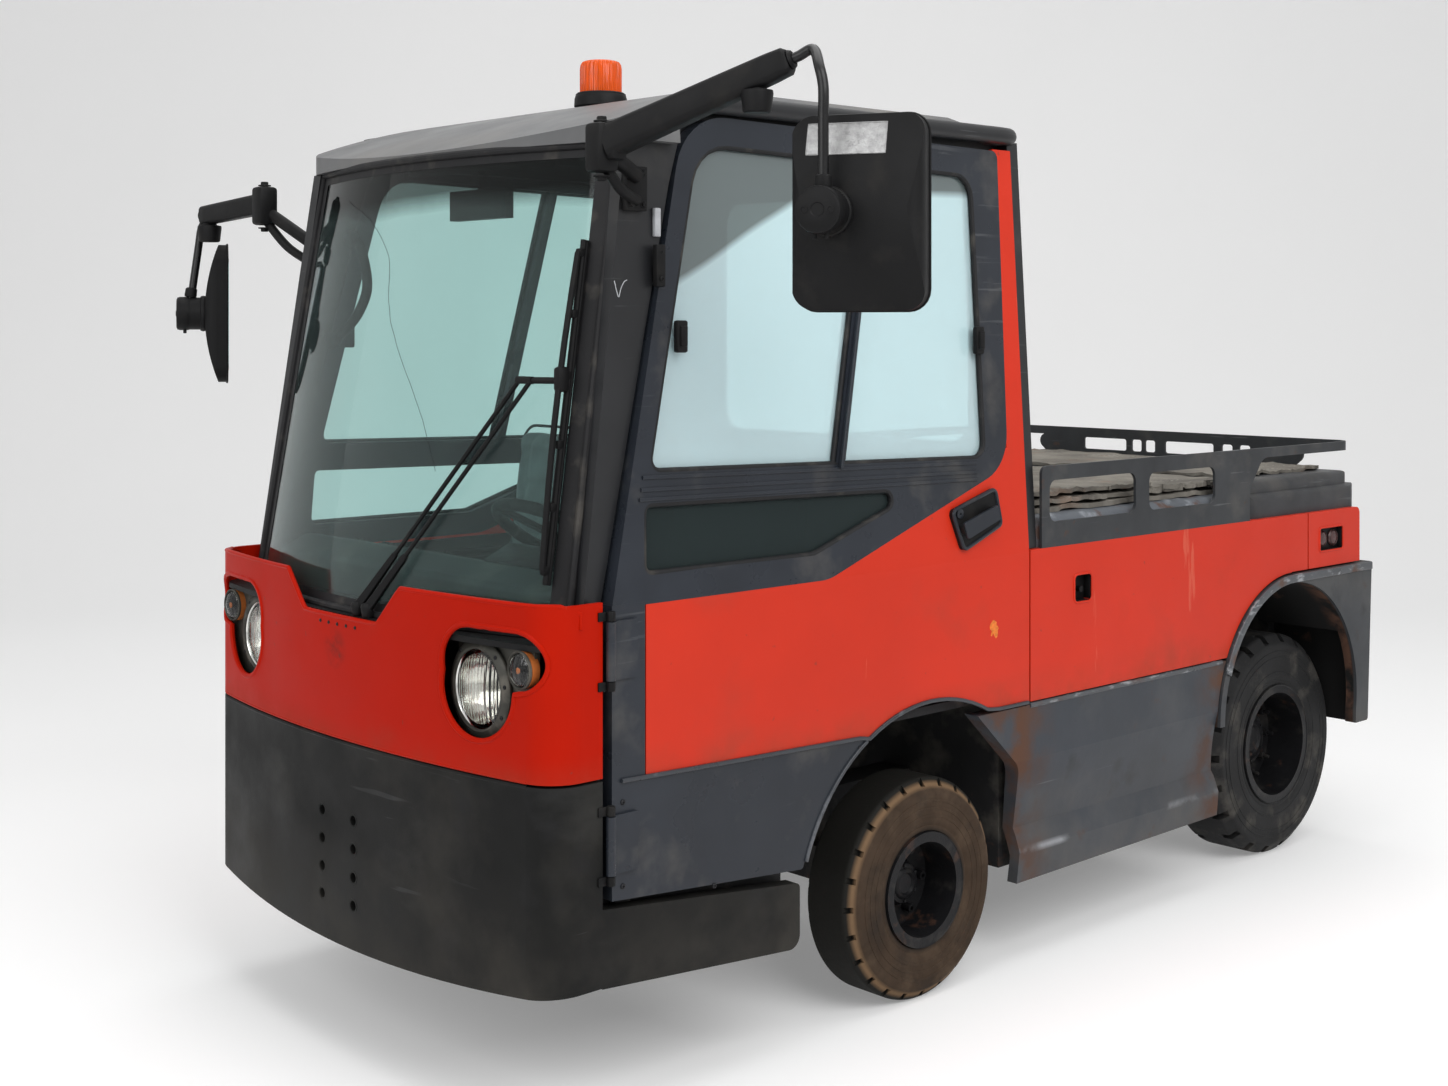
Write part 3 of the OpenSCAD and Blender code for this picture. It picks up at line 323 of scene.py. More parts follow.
Mat("rail", "rail_paint_worn", (0.03, 0.032, 0.035), 0.5).vary(0.2, 5).shine(0.1).dust(
    0.16, 8, 0.53, 0.72, rough=0.8).rust(0.5, 17, 0.66, 0.72, rough=0.9).scratches(
    0.2, (3, 3, 60), 1.5, 0.66).bump(40, 0.001, 5, 0.2)
Mat("roof", "roof_grain", (0.112, 0.114, 0.117), 0.4, spec=0.45).vary(0.15, 3).shine(0.1, 4).dust(
    0.35, 3, 0.5, 0.75, rough=0.75).bump(350, 0.0004, 2, 0.35)
Mat("plastic", "black_moulding", (0.007, 0.007, 0.0074), 0.5, spec=0.13).vary(0.2, 8).shine(0.08).dust(
    0.05, 9, 0.55, 0.75, rough=0.75).bump(600, 0.0005, 2, 0.5)
Mat("hood", "hood_moulding", (0.026, 0.027, 0.03), 0.5, spec=0.35).vary(0.2, 4).shine(0.1).dust(
    0.22, 5, 0.5, 0.75, rough=0.85).scratches(0.15, (3, 3, 50)).bump(300, 0.0006, 3, 0.5)
Mat("rubber", "seal_rubber", (0.009, 0.009, 0.01), 0.6).vary(0.25, 12).dust(0.2, 15, 0.55, 0.75).bump(
    250, 0.0004, 3, 0.4)
Mat("dark", "underbody_steel", (0.02, 0.02, 0.021), 0.7).vary(0.25, 6).dust(0.45, 7, 0.5, 0.7).rust(
    0.6, 12, 0.6, 0.68).bump(60, 0.001, 5, 0.4)
Mat("cast", "cast_iron", (0.025, 0.025, 0.026), 0.65, 0.3).vary(0.25, 8).rust(0.7, 14, 0.58, 0.68).bump(
    180, 0.0012, 5, 0.6)
Mat("screw", "screw_black", (0.02, 0.02, 0.022), 0.4, 0.6).vary(0.2, 40).rust(0.4, 60, 0.6, 0.7).bump(
    500, 0.0003, 2)
Mat("chrome", "reflector_bright", (0.62, 0.62, 0.59), 0.12, 1.0).vary(0.12, 30).shine(0.06, 40)
Mat("bezel", "lamp_bezel", (0.05, 0.049, 0.042), 0.5, 0.2).vary(0.2, 20).dust(0.4, 25, 0.5, 0.7).bump(
    300, 0.0003, 3)
Mat("mirror", "mirror_face", (0.75, 0.78, 0.8), 0.04, 1.0).vary(0.05, 6).shine(0.02, 20)
Mat("orange", "indicator_body", (0.4, 0.12, 0.03), 0.3).vary(0.2, 30).bump(120, 0.0004)
Mat("paper", "worn_patch", (0.34, 0.34, 0.34), 0.3, 0.3).vary(0.25, 60).spots(
    (0.15, 0.15, 0.15), 0.6, 90).bump(260, 0.0006, 2)
Mat("chip", "paint_chip", (0.75, 0.2, 0.03), 0.5).vary(0.3, 90).bump(120, 0.0006)
Mat("dash", "dash_moulding", (0.022, 0.029, 0.029), 0.6, spec=0.15).vary(0.15, 6).dust(
    0.25, 8, 0.52, 0.75).bump(420, 0.0004, 2, 0.15)
Mat("floor_mat", "floor_rubber", (0.016, 0.016, 0.017), 0.75).vary(0.3, 6).dust(0.5, 7, 0.5, 0.7).bump(
    120, 0.0015, 4)
Mat("vinyl", "seat_vinyl", (0.15, 0.17, 0.17), 0.48).vary(0.15, 9).shine(0.08).spots(
    (0.05, 0.05, 0.05), 0.4, 7, 0.56, 0.72).bump(520, 0.0008, 3, 0.6)
Mat("deck", "deck_paint_worn", (0.1, 0.11, 0.125), 0.45).vary(0.25, 5).shine(0.12).spots(
    (0.4, 0.42, 0.45), 0.7, 9, 0.55, 0.66).rust(0.8, 11, 0.56, 0.64, rough=0.9).bump(40, 0.002, 5, 0.4)
tread = Mat("tyre", "tyre_black", (0.014, 0.014, 0.0145), 0.68, spec=0.2).vary(0.25, 9).dust(
    0.3, 11, 0.52, 0.75)
tread.bump(150, 0.0012, 4, 0.5)
worn = Mat("worn_tyre", "tyre_brown_worn", (0.05, 0.033, 0.022), 0.8, spec=0.12).vary(0.3, 9)
worn.spots((0.13, 0.09, 0.06), 0.5, 12, 0.5, 0.75).spots((0.02, 0.017, 0.015), 0.7, 7, 0.55, 0.7)
# Painted shade: everything inward of the outer sidewall, the tread included, is darkened, so the tread reads
# as lying in shadow.
flat = worn.band(worn.calc("ABSOLUTE", worn.axis(1)), 0.652, 0.645)
across = [worn.calc("SUBTRACT", worn.axis(i), middle) for i, middle in ((0, 0.487), (2, 0.262))]
radius = worn.calc("SQRT", worn.calc("ADD", *(worn.times(a, a) for a in across)))
worn.layer(worn.band(radius, 0.236, 0.244, 0.85), (0.2, 0.125, 0.07))
worn.layer(worn.band(radius, 0.15, 0.138, 0.8), (0.018, 0.015, 0.013))
worn.layer(flat, (0.013, 0.0125, 0.011), 0.7)
worn.bump(120, 0.0015, 5, 0.6)
Mat("rim", "rim_paint_dusty", (0.009, 0.009, 0.01), 0.4, spec=0.14).vary(0.2, 12).dust(
    0.12, 14, 0.54, 0.72).rust(0.4, 22, 0.6, 0.7).bump(160, 0.0006, 4)
plank = Mat("mat", "weathered_mat", (0.2, 0.185, 0.16), 0.85).vary(0.3, 7)
plank.spots((0.1, 0.09, 0.08), 0.7, 6, 0.5, 0.68).spots((0.26, 0.12, 0.06), 0.5, 5, 0.58, 0.72)
plank.scratches(0.5, (2, 40, 2), 1.6, 0.58, (0.34, 0.32, 0.29))
plank.bump(8, 0.003, 6, 0.5, (3, 40, 3)).bump(200, 0.001, 4)


def glass(key, name, tint, rough, clear, ior):
    m = Mat(key, name, tint, rough, spec=0.5, Transmission_Weight=clear, IOR=ior).vary(0.03, 1.5)
    return m.spots((0.85, 0.88, 0.86), 0.1, 2.6, 0.55, 0.8)


clear = glass("glass", "tinted_glass_painted_dark_top", (0.65, 0.83, 0.81), 0.01, 0.98, 1.22)
# Painted shade: a dark band with a wavy lower edge across the top of the windscreen, for the dark cab roof
# seen through it.
band = clear.calc("ADD", clear.axis(2), clear.times(clear.noise(1.6, 2.0), 0.1))
band = clear.times(clear.band(band, 1.905, 1.95, 0.86), clear.band(clear.axis(0), 1.32, 1.4))
clear.layer(band, (0.035, 0.04, 0.037))
# The left door's glass is half a pale diffuse colour: a painted reflection of the pale surroundings.
pale = glass("door_glass", "door_glass_painted_reflection_and_shade", (0.72, 0.91, 0.95), 0.01, 0.5, 1.6)
# Painted shade: a dark band across the top of the door glass, reaching lower towards the front, for the dark
# cab ceiling seen through it.
slope = pale.times(pale.calc("MAXIMUM", pale.calc("SUBTRACT", pale.axis(0), 0.8), 0.0), 0.5)
line = pale.calc("ADD", pale.axis(2), pale.calc("ADD", slope, pale.times(pale.noise(1.4, 2.0), 0.08)))
pale.layer(pale.band(line, 1.945, 1.965, 0.82), (0.085, 0.1, 0.095))
# Painted shade: the lower pane, below 1.25 m, is made nearly black, for the dark inside of the cab seen
# through it.
pale.layer(pale.band(pale.axis(2), 1.262, 1.25, 0.96), (0.012, 0.02, 0.019))
bend = pale.node("ShaderNodeMapRange", pale.axis(2), 1.262, 1.25, 1.6, 1.12).outputs[0]
pale.put(pale.b.inputs["IOR"], bend)
lens = glass("lens", "clear_lens", (0.93, 0.93, 0.9), 0.03, 1.0, 1.45)
lens.bump(1.0, 0.004, 0.0, 0.5, (0.01, 130, 0.01))
Mat("amber", "amber_lens", (0.88, 0.11, 0.003), 0.14, Transmission_Weight=0.3, IOR=1.49).vary(
    0.12, 20).bump(90, 0.0004, 2)
Mat("tail", "tail_lens", (0.1, 0.05, 0.048), 0.15, Transmission_Weight=0.3).vary(0.2, 60).bump(
    240, 0.0008, 2)
M = {m.key: m.done() for m in Mat.made}

# CAD nodes of each material
NODES = {
    "dark": "chassis_frame battery front_axle rear_axle knuckle_left knuckle_right tie_rod",
    "apron": "front_apron", "front_red": "front_panel",
    "plastic": "cowl wiper mirror_arms mirror_heads beacon_base door_hinges steering_wheel "
               "door_left_handle door_right_handle",
    "bezel": "headlamps", "lens": "lamp_lenses", "skirt": "side_skirts",
    "red": "rear_side_panels door_left_skin door_right_skin", "fender": "rear_fenders rear_plate",
    "cast": "tow_coupling", "deck": "deck_cover", "mat": "deck_mats", "hood": "rear_hood",
    "rail": "deck_rails", "black": "cab_frame cab_rear_wall", "roof": "cab_roof",
    "glass": "cab_glass door_right_glass", "floor_mat": "cab_floor", "dash": "dashboard", "vinyl": "seats",
    "amber": "beacon_lens", "door_glass": "door_left_glass", "frame": "door_left_frame door_right_frame",
    "worn_tyre": "front_left_tyre front_right_tyre",
    "rim": "front_left_rim rear_left_rim front_right_rim rear_right_rim",
    "tyre": "rear_left_tyre rear_right_tyre",
}
for key, names in NODES.items():
    for name in names.split():
        nodes[name].data.materials.clear()
        nodes[name].data.materials.append(M[key])


# Mesh helpers
def piece(name, bm, key, body="chassis", angle=35):
    """Turns a bmesh in metres into a piece that rides on a body."""
    bmesh.ops.recalc_face_normals(bm, faces=bm.faces)
    limit = radians(angle)
    for f in bm.faces:
        f.smooth = True
    for e in bm.edges:
        e.smooth = len(e.link_faces) == 2 and e.calc_face_angle(0) < limit
    me = mesh_of(name, bm)
    me.materials.append(M[key])
    ob = linked(name, me)
    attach(ob, body)
    return ob


def bridge(bm, a, b, closed=True):
    """Joins two equal rows of vertices with faces."""
    n = len(a)
    for i in range(n if closed else n - 1):
        j = (i + 1) % n
        bm.faces.new((a[i], a[j], b[j], b[i]))


def frames(pts, closed):
    """Sideways and upward directions along a path, without sudden twists."""
    n = len(pts)
    out = []
    last = None
    for i, p in enumerate(pts):
        a = pts[(i - 1) % n] if closed or i > 0 else p
        b = pts[(i + 1) % n] if closed or i < n - 1 else p
        d = (b - a).normalized()
        if last is None:
            ref = Z if abs(d.z) < 0.9 else X
            u = (ref - d * ref.dot(d)).normalized()
        else:
            u = (last - d * last.dot(d)).normalized()
        last = u
        out.append((u, d.cross(u)))
    return out


def sweep(bm, pts, profile, closed=False, scale=None):
    """Sweeps a closed 2-D profile, in millimetres, along points in metres."""
    rings = []
    for i, (p, (u, w)) in enumerate(zip(pts, frames(pts, closed))):
        k = (scale(i / (len(pts) - 1)) if scale else 1) / 1000
        rings.append([bm.verts.new(p + u * a * k + w * b * k) for a, b in profile])
    for a, b in zip(rings, rings[1:] + rings[:1] if closed else rings[1:]):
        bridge(bm, a, b)
    if not closed:
        bm.faces.new(rings[0])
        bm.faces.new(rings[-1])


def circle(r, n=10):
    return [(r * cos(2 * pi * i / n), r * sin(2 * pi * i / n)) for i in range(n)]


def rounded(a, b, r, n=4):
    """A rectangle of half sizes a and b with rounded corners."""
    pts = []
    for k, (cx, cy) in enumerate(((a - r, b - r), (r - a, b - r), (r - a, r - b), (a - r, r - b))):
        for i in range(n + 1):
            t = pi / 2 * (k + i / n)
            pts.append((cx + r * cos(t), cy + r * sin(t)))
    return pts


def smooth_path(pts, n=8):
    """A smooth curve through the given points."""
    ends = [pts[0], *pts, pts[-1]]
    out = []
    for p in zip(ends, ends[1:], ends[2:], ends[3:]):
        for j in range(n):
            t = j / n
            out.append(0.5 * (2 * p[1] + (p[2] - p[0]) * t + (2 * p[0] - 5 * p[1] + 4 * p[2] - p[3]) * t * t
                              + (3 * p[1] - p[0] - 3 * p[2] + p[3]) * t ** 3))
    return out + [pts[-1].copy()]


def corners(pts, n=5):
    """A closed 2-D outline from [x, y] or [x, y, radius] corners."""
    out = []
    m = len(pts)
    for i, p in enumerate(pts):
        b = Vector(p[:2])
        if len(p) < 3:
            out.append(b)
            continue
        u = (Vector(pts[i - 1][:2]) - b).normalized()
        v = (Vector(pts[(i + 1) % m][:2]) - b).normalized()
        half = u.angle(v) / 2
        mid = b + (u + v).normalized() * p[2] / sin(half)
        p0, p1 = b + u * p[2] / tan(half) - mid, b + v * p[2] / tan(half) - mid
        turn = (atan2(p1.y, p1.x) - atan2(p0.y, p0.x) + 3 * pi) % (2 * pi) - pi
        for k in range(n + 1):
            t = atan2(p0.y, p0.x) + turn * k / n
            out.append(mid + p[2] * vec(cos(t), sin(t)))
    return out


def tube(name, pts, r, key, closed=False, n=10):
    bm = bmesh.new()
    sweep(bm, pts, circle(r, n), closed)
    return piece(name, bm, key)


def lathe(bm, profile, origin, direction, segments=48, flute=None):
    """Turns (radius, height) points, in millimetres, about an axis through origin."""
    d = Vector(direction).normalized()
    ref = Z if abs(d.z) < 0.9 else X
    u = (ref - d * ref.dot(d)).normalized()
    w = d.cross(u)
    rings = []
    for r, h in profile:
        if r < 1e-6:
            rings.append([bm.verts.new(origin + d * h / 1000)])
            continue
        ring = []
        for i in range(segments):
            t = 2 * pi * i / segments
            k = flute(i, r, h) if flute else 1
            ring.append(bm.verts.new(origin + d * h / 1000 + (u * cos(t) + w * sin(t)) * r * k / 1000))
        rings.append(ring)
    for a, b in zip(rings, rings[1:]):
        if len(a) == len(b):
            bridge(bm, a, b)
            continue
        pole, ring = (a[0], b) if len(a) == 1 else (b[0], a)
        for i in range(segments):
            bm.faces.new((pole, ring[i], ring[(i + 1) % segments]))


def middle(outline):
    return [sum(p[i] for p in outline) / len(outline) for i in (0, 1)]


def scaled(outline, k):
    """An outline drawn k times as large about its middle."""
    cx, cy = middle(outline)
    return [(cx + (p[0] - cx) * k, cy + (p[1] - cy) * k) for p in outline]


def plate(bm, outline, at, t, bevel=2.0):
    """A plate with chamfered front edge: outline in 2-D mm, at(u, v, out) gives a point in metres."""
    cx, cy = middle(outline)
    size = max(max(abs(p[0] - cx), abs(p[1] - cy)) for p in outline)
    rows = ((outline, 0), (outline, t - bevel), (scaled(outline, 1 - bevel / size), t))
    rings = [[bm.verts.new(at(p[0], p[1], out)) for p in row] for row, out in rows]
    for a, b in zip(rings, rings[1:]):
        bridge(bm, a, b)
    bm.faces.new(rings[0])
    bm.faces.new(rings[-1])


def on_side(s, y):
    """Places an outline on the side s of the body, y millimetres from the middle."""
    return lambda u, v, out: V(u, s * (y + out), v)


def leaning(c, s):
    """Axes of a block that leans about Y, from a cosine and a sine."""
    return vec(c, 0, s), Y, vec(-s, 0, c)


def block(bm, centre, half, axes=None, r=0.12):
    """A box with chamfered edges, centre in metres, half sizes in millimetres."""
    part = bmesh.new()
    bmesh.ops.create_cube(part, size=2)
    pairs = list(zip(axes or (X, Y, Z), half))
    m = Matrix([[a[j] * h / 1000 for a, h in pairs] for j in range(3)])
    bmesh.ops.transform(part, matrix=m.to_4x4(), verts=part.verts)
    bmesh.ops.bevel(part, geom=list(part.edges), offset=min(half) / 1000 * 2 * r, segments=2, profile=0.5,
                    affect="EDGES")
    bmesh.ops.translate(part, vec=centre, verts=part.verts)
    me = mesh_of("part", part)
    bm.from_mesh(me)
    bpy.data.meshes.remove(me)


def bolt(bm, p, d, r, washer=True):
    """A hexagon head at p, in metres, that looks along d; r in millimetres."""
    if washer:
        lathe(bm, [(0, 0), (r * 1.5, 0), (r * 1.5, r * 0.2), (r * 1.4, r * 0.28), (0, r * 0.28)], p, d, 20)
    lathe(bm, [(0, 0.2 * r), (r, 0.2 * r), (r, r * 0.8), (r * 0.85, r), (0, r)], p, d, 6)


def screw(bm, p, d, r):
    """A round head with a socket."""
    lathe(bm, [(0, 0), (r, 0), (r * 0.95, r * 0.3), (r * 0.6, r * 0.55), (0.35 * r, r * 0.58),
               (0.3 * r, 0.25 * r), (0, r * 0.25)], p, d, 16)


# Stage: pale floor that sweeps up into the backdrop
bm = bmesh.new()
across = vec(view_dir.y, -view_dir.x, 0)
BEND_AT, BEND_R, BEND_STEPS = 5, 4, 12
turns = [pi / 2 * i / BEND_STEPS for i in range(1, BEND_STEPS + 1)]
profile = [(-14, 0), (0, 0), (BEND_AT, 0)] + [
    (BEND_AT + BEND_R * sin(a), BEND_R - BEND_R * cos(a)) for a in turns] + [(9, 16)]
DROP = 0.0005
rows = [[bm.verts.new(view_dir * d + across * w + vec(0, 0, h - DROP)) for w in (-22, 22)]
        for d, h in profile]
for a, b in zip(rows, rows[1:]):
    bridge(bm, a, b, closed=False)
for f in bm.faces:
    f.smooth = True
me = mesh_of("stage_floor", bm)
floor_mat = Mat("stage", "stage_pale", (0.82, 0.82, 0.82), 0.75).vary(0.01, 0.6)


def seen_directly(tree):
    """One where the camera, a mirror or glass looks straight at the stage."""
    path = tree.nodes.new("ShaderNodeLightPath").outputs
    total = path["Is Camera Ray"]
    for key in ("Is Glossy Ray", "Is Transmission Ray"):
        n = tree.nodes.new("ShaderNodeMath")
        n.operation = "MAXIMUM"
        tree.links.new(total, n.inputs[0])
        tree.links.new(path[key], n.inputs[1])
        total = n.outputs[0]
    return total


GLOW = 0.22
floor_mat.b.inputs["Emission Color"].default_value = (1, 1, 1, 1)
glow = floor_mat.times(seen_directly(floor_mat.t), GLOW)
floor_mat.put(floor_mat.b.inputs["Emission Strength"], glow)
me.materials.append(floor_mat.done())
linked("stage_floor", me)

scene.view_settings.view_transform = "Standard"
world = bpy.data.worlds.new("studio")
scene.world = world
world.use_nodes = True
world.node_tree.nodes["Background"].inputs[0].default_value = (1, 1, 1, 1)
WORLD_LIGHT, WORLD_SEEN = 0.4, 0.85
tree = world.node_tree
level = tree.nodes.new("ShaderNodeMapRange")
level.inputs[3].default_value, level.inputs[4].default_value = WORLD_LIGHT, WORLD_SEEN
tree.links.new(seen_directly(tree), level.inputs[0])
tree.links.new(level.outputs[0], tree.nodes["Background"].inputs[1])


def area(name, at, aim, size, watts):
    data = bpy.data.lights.new(name, "AREA")
    data.shape = "RECTANGLE"
    data.size, data.size_y = size
    data.energy = watts
    ob = linked(name, data)
    ob.location = at
    ob.rotation_euler = (Vector(aim) - Vector(at)).to_track_quat("-Z", "Y").to_euler()


area("key", (1.5, 5.5, 5.0), (0, 0, 0.8), (5, 4), 270)
area("front", (6.0, 1.0, 3.6), (0.8, 0, 0.8), (4, 3), 105)
area("top", (0, 0, 6.5), (0, 0, 0), (6, 6), 190)

# Windscreen: rubber seal, dark border and the crack
def screen_edge(inset, out, sides=None, step=14):
    lo, hi = 972 + inset, 1982 - inset
    sides = (inset if sides is None else sides) + 35
    zs = [lo + (hi - lo) * i / step for i in range(step + 1)]
    left = [screen(pillar_y(z) - sides, z, out) for z in zs]
    right = [screen(sides - pillar_y(z), z, out) for z in reversed(zs)]
    top = [screen((pillar_y(hi) - sides) * (1 - i / 8), hi, out) for i in range(1, 16)]
    foot = [screen((pillar_y(lo) - sides) * (i / 8 - 1), lo, out) for i in range(1, 16)]
    return left + top + right + foot


tube("screen_seal", screen_edge(0, 3), 9, "rubber", True)
bm = bmesh.new()
edges = screen_edge(4, 0.8), screen_edge(26, 0.8, 46)
bridge(bm, *([bm.verts.new(p) for p in edge] for edge in edges))
piece("screen_border", bm, "rubber")
crack = [(225, 1290), (140, 1420), (20, 1560), (-40, 1655), (-70, 1760), (-190, 1850), (-330, 1900)]
path = smooth_path([screen(y, z, 1) for y, z in crack], 6)
JAG, SHIFT = 0.004, vec(3, 1, 2)
path = [p + vec(0, JAG * noise.noise(p * 60), JAG * noise.noise(p * 50 + SHIFT)) for p in path]
tube("screen_crack", path, 0.55, "rubber", n=5)


# Doors
def fx(z):
    """X of the front edge of a door's window frame."""
    return 978 - (z - BELT) * 0.243


UPPER = [[fx(1300) - 48, 1302, 25], [fx(1994) - 50, 1994, 110], [-216, 1976, 60], [-219, 1278, 40]]
LOWER = [[fx(1093) - 76, 1093, 20], [fx(1236) - 48, 1236, 20], [0, 1219, 25], [392, 1092, 40]]
PLATE = [[-66, 1158, 14], [-240, 1206, 14], [-258, 1112, 14], [-106, 1058, 14]]
GRIP = [[-92, 1128, 6], [-222, 1164, 6], [-230, 1128, 6], [-104, 1088, 6]]
TRIM_TOP = [[-222, 1300, 30], [-222, 1990, 20], [-362, 1990, 20], [-362, 1060, 20], [330, 1060, 20],
            [60, 1180, 30], [-150, 1210, 30]]
TRIM_LOW = [[866, 760, 40], [866, 1024, 20], [-350, 1024, 20], [-350, 760, 40]]
PULL = [(560, 4), (555, 34), (480, 44), (330, 44), (255, 34), (250, 4)]
DOOR_ARCH_R = 452
LIP = [(955, 684), (700, 676), (450, 669), (250, 663), *arc(0, FRONT_R, DOOR_ARCH_R, range(61, 121, 4)),
       (-250, 660), (-364, 660)]
for side, s in SIDES:
    body = f"door_{side}"
    at = lambda u, v, out, s=s: door(u, out, v, s)
    inside = lambda u, v, out, s=s: door(u, -37 - out, v, s)
    bm = bmesh.new()
    for outline in (UPPER, LOWER):
        sweep(bm, [at(*p, -7) for p in corners(outline)], circle(7.5), True)
    for x0 in (-4, 30):
        sweep(bm, [at(290 + x0 - 162 * i / 10, 1272 + 72.5 * i, -8) for i in range(11)], circle(6))
    piece(f"{body}_seals", bm, "rubber", body)
    bm = bmesh.new()
    sweep(bm, [at(303 - 162 * i / 10, 1280 + 71 * i, 1) for i in range(11)], rounded(4, 12, 3))
    for z0, z1 in ((1291, 1268), (1266, 1246), (1246, 1228)):
        sweep(bm, [at(fx(z0) - 30, z0, 1), at(-180, z1, 1)], rounded(4, 3, 1.5))
    piece(f"{body}_runners", bm, "frame", body)
    bm = bmesh.new()
    plate(bm, corners(TRIM_TOP), inside, 7, 3)
    plate(bm, corners(TRIM_LOW), inside, 7, 3)
    sweep(bm, smooth_path([inside(x, 985, out) for x, out in PULL], 6), circle(12))
    piece(f"{body}_inner_trim", bm, "plastic", body)
    bm = bmesh.new()
    sweep(bm, [at(*p, 1) for p in LIP], rounded(4.5, 5.5, 3))
    sweep(bm, [at(*p, 0) for p in arc(0, FRONT_R, DOOR_ARCH_R, range(20, 61, 4))], rounded(4.5, 5, 3))
    piece(f"{body}_lip", bm, "door_lip", body)
    bm = bmesh.new()
    for x, z in ((770, 1580), (-205, 1567)):
        block(bm, at(x, z, 6), (15, 8, 34), r=0.3)
        block(bm, at(x, z, 15), (9, 5, 22), r=0.3)
    block(bm, at(822, 1728, 6), (12, 8, 44), r=0.2)
    for dz in (-28, 28):
        screw(bm, at(822, 1728 + dz, 13), Y * s, 6)
    piece(f"{body}_latches", bm, "plastic", body)
    bm = bmesh.new()
    sweep(bm, [at(*p, 10) for p in scaled(corners(PLATE), 0.95)], circle(5, 8), True)
    plate(bm, corners(GRIP), lambda u, v, out: at(u, v, 24 + out), 6, 2)
    lathe(bm, [(0, 8), (12, 8), (12, 13), (10, 14), (3, 14), (3, 11), (0, 11)], at(-98, 1150, 0), Y * s, 24)
    piece(f"{body}_handle_trim", bm, "frame", body)
    bm = bmesh.new()
    for x, z in ((950, 470), (950, 640), (250, 640), (700, 420)):
        screw(bm, V(x, s * HALF, z), Y * s, 6)
    piece(f"{body}_screws", bm, "screw", body)

# Front: lamps
bm_ring, bm_chrome, bm_orange, bm_dark, bm_screw = (bmesh.new() for _ in range(5))
for s in (1, -1):
    lamp, flash = V(1122, s * 445, 859), V(1122, s * 589, 917)
    lathe(bm_ring, [(80, 8), (82, 16), (86, 18), (100, 13), (103, 9), (103, 5), (96, 4)], lamp, X, 64)
    lathe(bm_chrome, [(0, -46), (14, -46), (30, -40), (48, -28), (62, -10), (71, 8), (74, 9)], lamp, X, 48)
    lathe(bm_chrome, [(0, 0), (7, -2), (9, -12), (9, -44)], lamp, X, 20)
    lathe(bm_chrome, [(79, 9), (81, 13), (84, 15), (86, 13), (86, 9)], lamp, X, 64)
    lathe(bm_chrome, [(0, 2), (29, 3), (31, 5), (31, 17), (28, 17), (26, 9), (13, 6), (0, 6)], flash, X, 36)
    lathe(bm_orange, [(0, 6), (11, 6), (10, 13), (6, 16), (0, 17)], flash, X, 20)
    lathe(bm_orange, [(33, -6), (38.6, -6), (38.6, 12), (34, 14)], flash, X, 40)
    lathe(bm_dark, [(33, 12), (37, 12), (39, 14), (38.6, 18), (36, 20), (34, 17)], flash, X, 40)
    for y, z in arc(0, 0, 0.094, (50, 130, 210, 250, 330, 10)):
        screw(bm_screw, lamp + vec(0.015, y, z), X, 4.5)
piece("lamp_rings", bm_ring, "bezel")
piece("lamp_reflectors", bm_chrome, "chrome")
piece("indicator_bodies", bm_orange, "orange")
piece("indicator_rims", bm_dark, "bezel")


def lamp_edge(dy, dz):
    """Point on the edge of the lamp opening, seen from its middle along a direction."""
    shapes = [(475, 868, 106), (450, 915, 80), (593, 932, 62)]
    oy, oz = 500, 895
    best = 0
    for cy, cz, r in shapes:
        fy, fz = oy - cy, oz - cz
        b, c = fy * dy + fz * dz, fy * fy + fz * fz - r * r
        if b * b - c > 0:
            best = max(best, -b + sqrt(b * b - c))
    t = 0
    while t < 200 and 450 <= oy + dy * t <= 593 and 880 <= oz + dz * t <= 995:
        t += 1
    reach = max(best, t)
    return oy + dy * reach, oz + dz * reach


def front_bead(bm, pts, out, r):
    """A bead along (y, z) points of the bowed front."""
    sweep(bm, [V(front_x(y, out), y, z) for y, z in pts], circle(r, 8))


def straight(z):
    return [(-613 + 1226 * i / 40, z) for i in range(41)]


bm = bmesh.new()
for s in (1, -1):
    path = []
    for i in range(96):
        t = 2 * pi * i / 96
        y, z = lamp_edge(cos(t), sin(t))
        path.append(V(front_x(y, -3), s * y, z))
    sweep(bm, path, circle(6.5, 8), True)
top = [(-683, 1000), (-681, 1030), (-668, 1045)] + [(-668 + 434 * i / 12, 1047) for i in range(1, 13)]
top += [(-222, 1036), (-162, 974), (-148, 963)] + [(-148 + 296 * i / 10, 962) for i in range(1, 11)]
top += [(162, 974), (222, 1036)] + [(234 + 434 * i / 12, 1047) for i in range(13)]
top += [(681, 1030), (683, 1000)]
front_bead(bm, top, -4, 5.5)
front_bead(bm, straight(698), -3, 4)
piece("front_panel_edges", bm, "front_red")
for y in (-72, -36, 0, 36, 72):
    screw(bm_screw, V(front_x(y), y, 946), X, 4)
piece("front_screws", bm_screw, "screw")
bm = bmesh.new()
front_bead(bm, straight(688), -4, 5)
for y in (-64, 64):
    for z in (341, 402, 464, 526):
        lathe(bm, [(11, -3), (12.5, 0.2), (15, 0.6), (15.5, -1)], V(front_x(y), y, z), X, 24)
piece("apron_edges", bm, "apron")

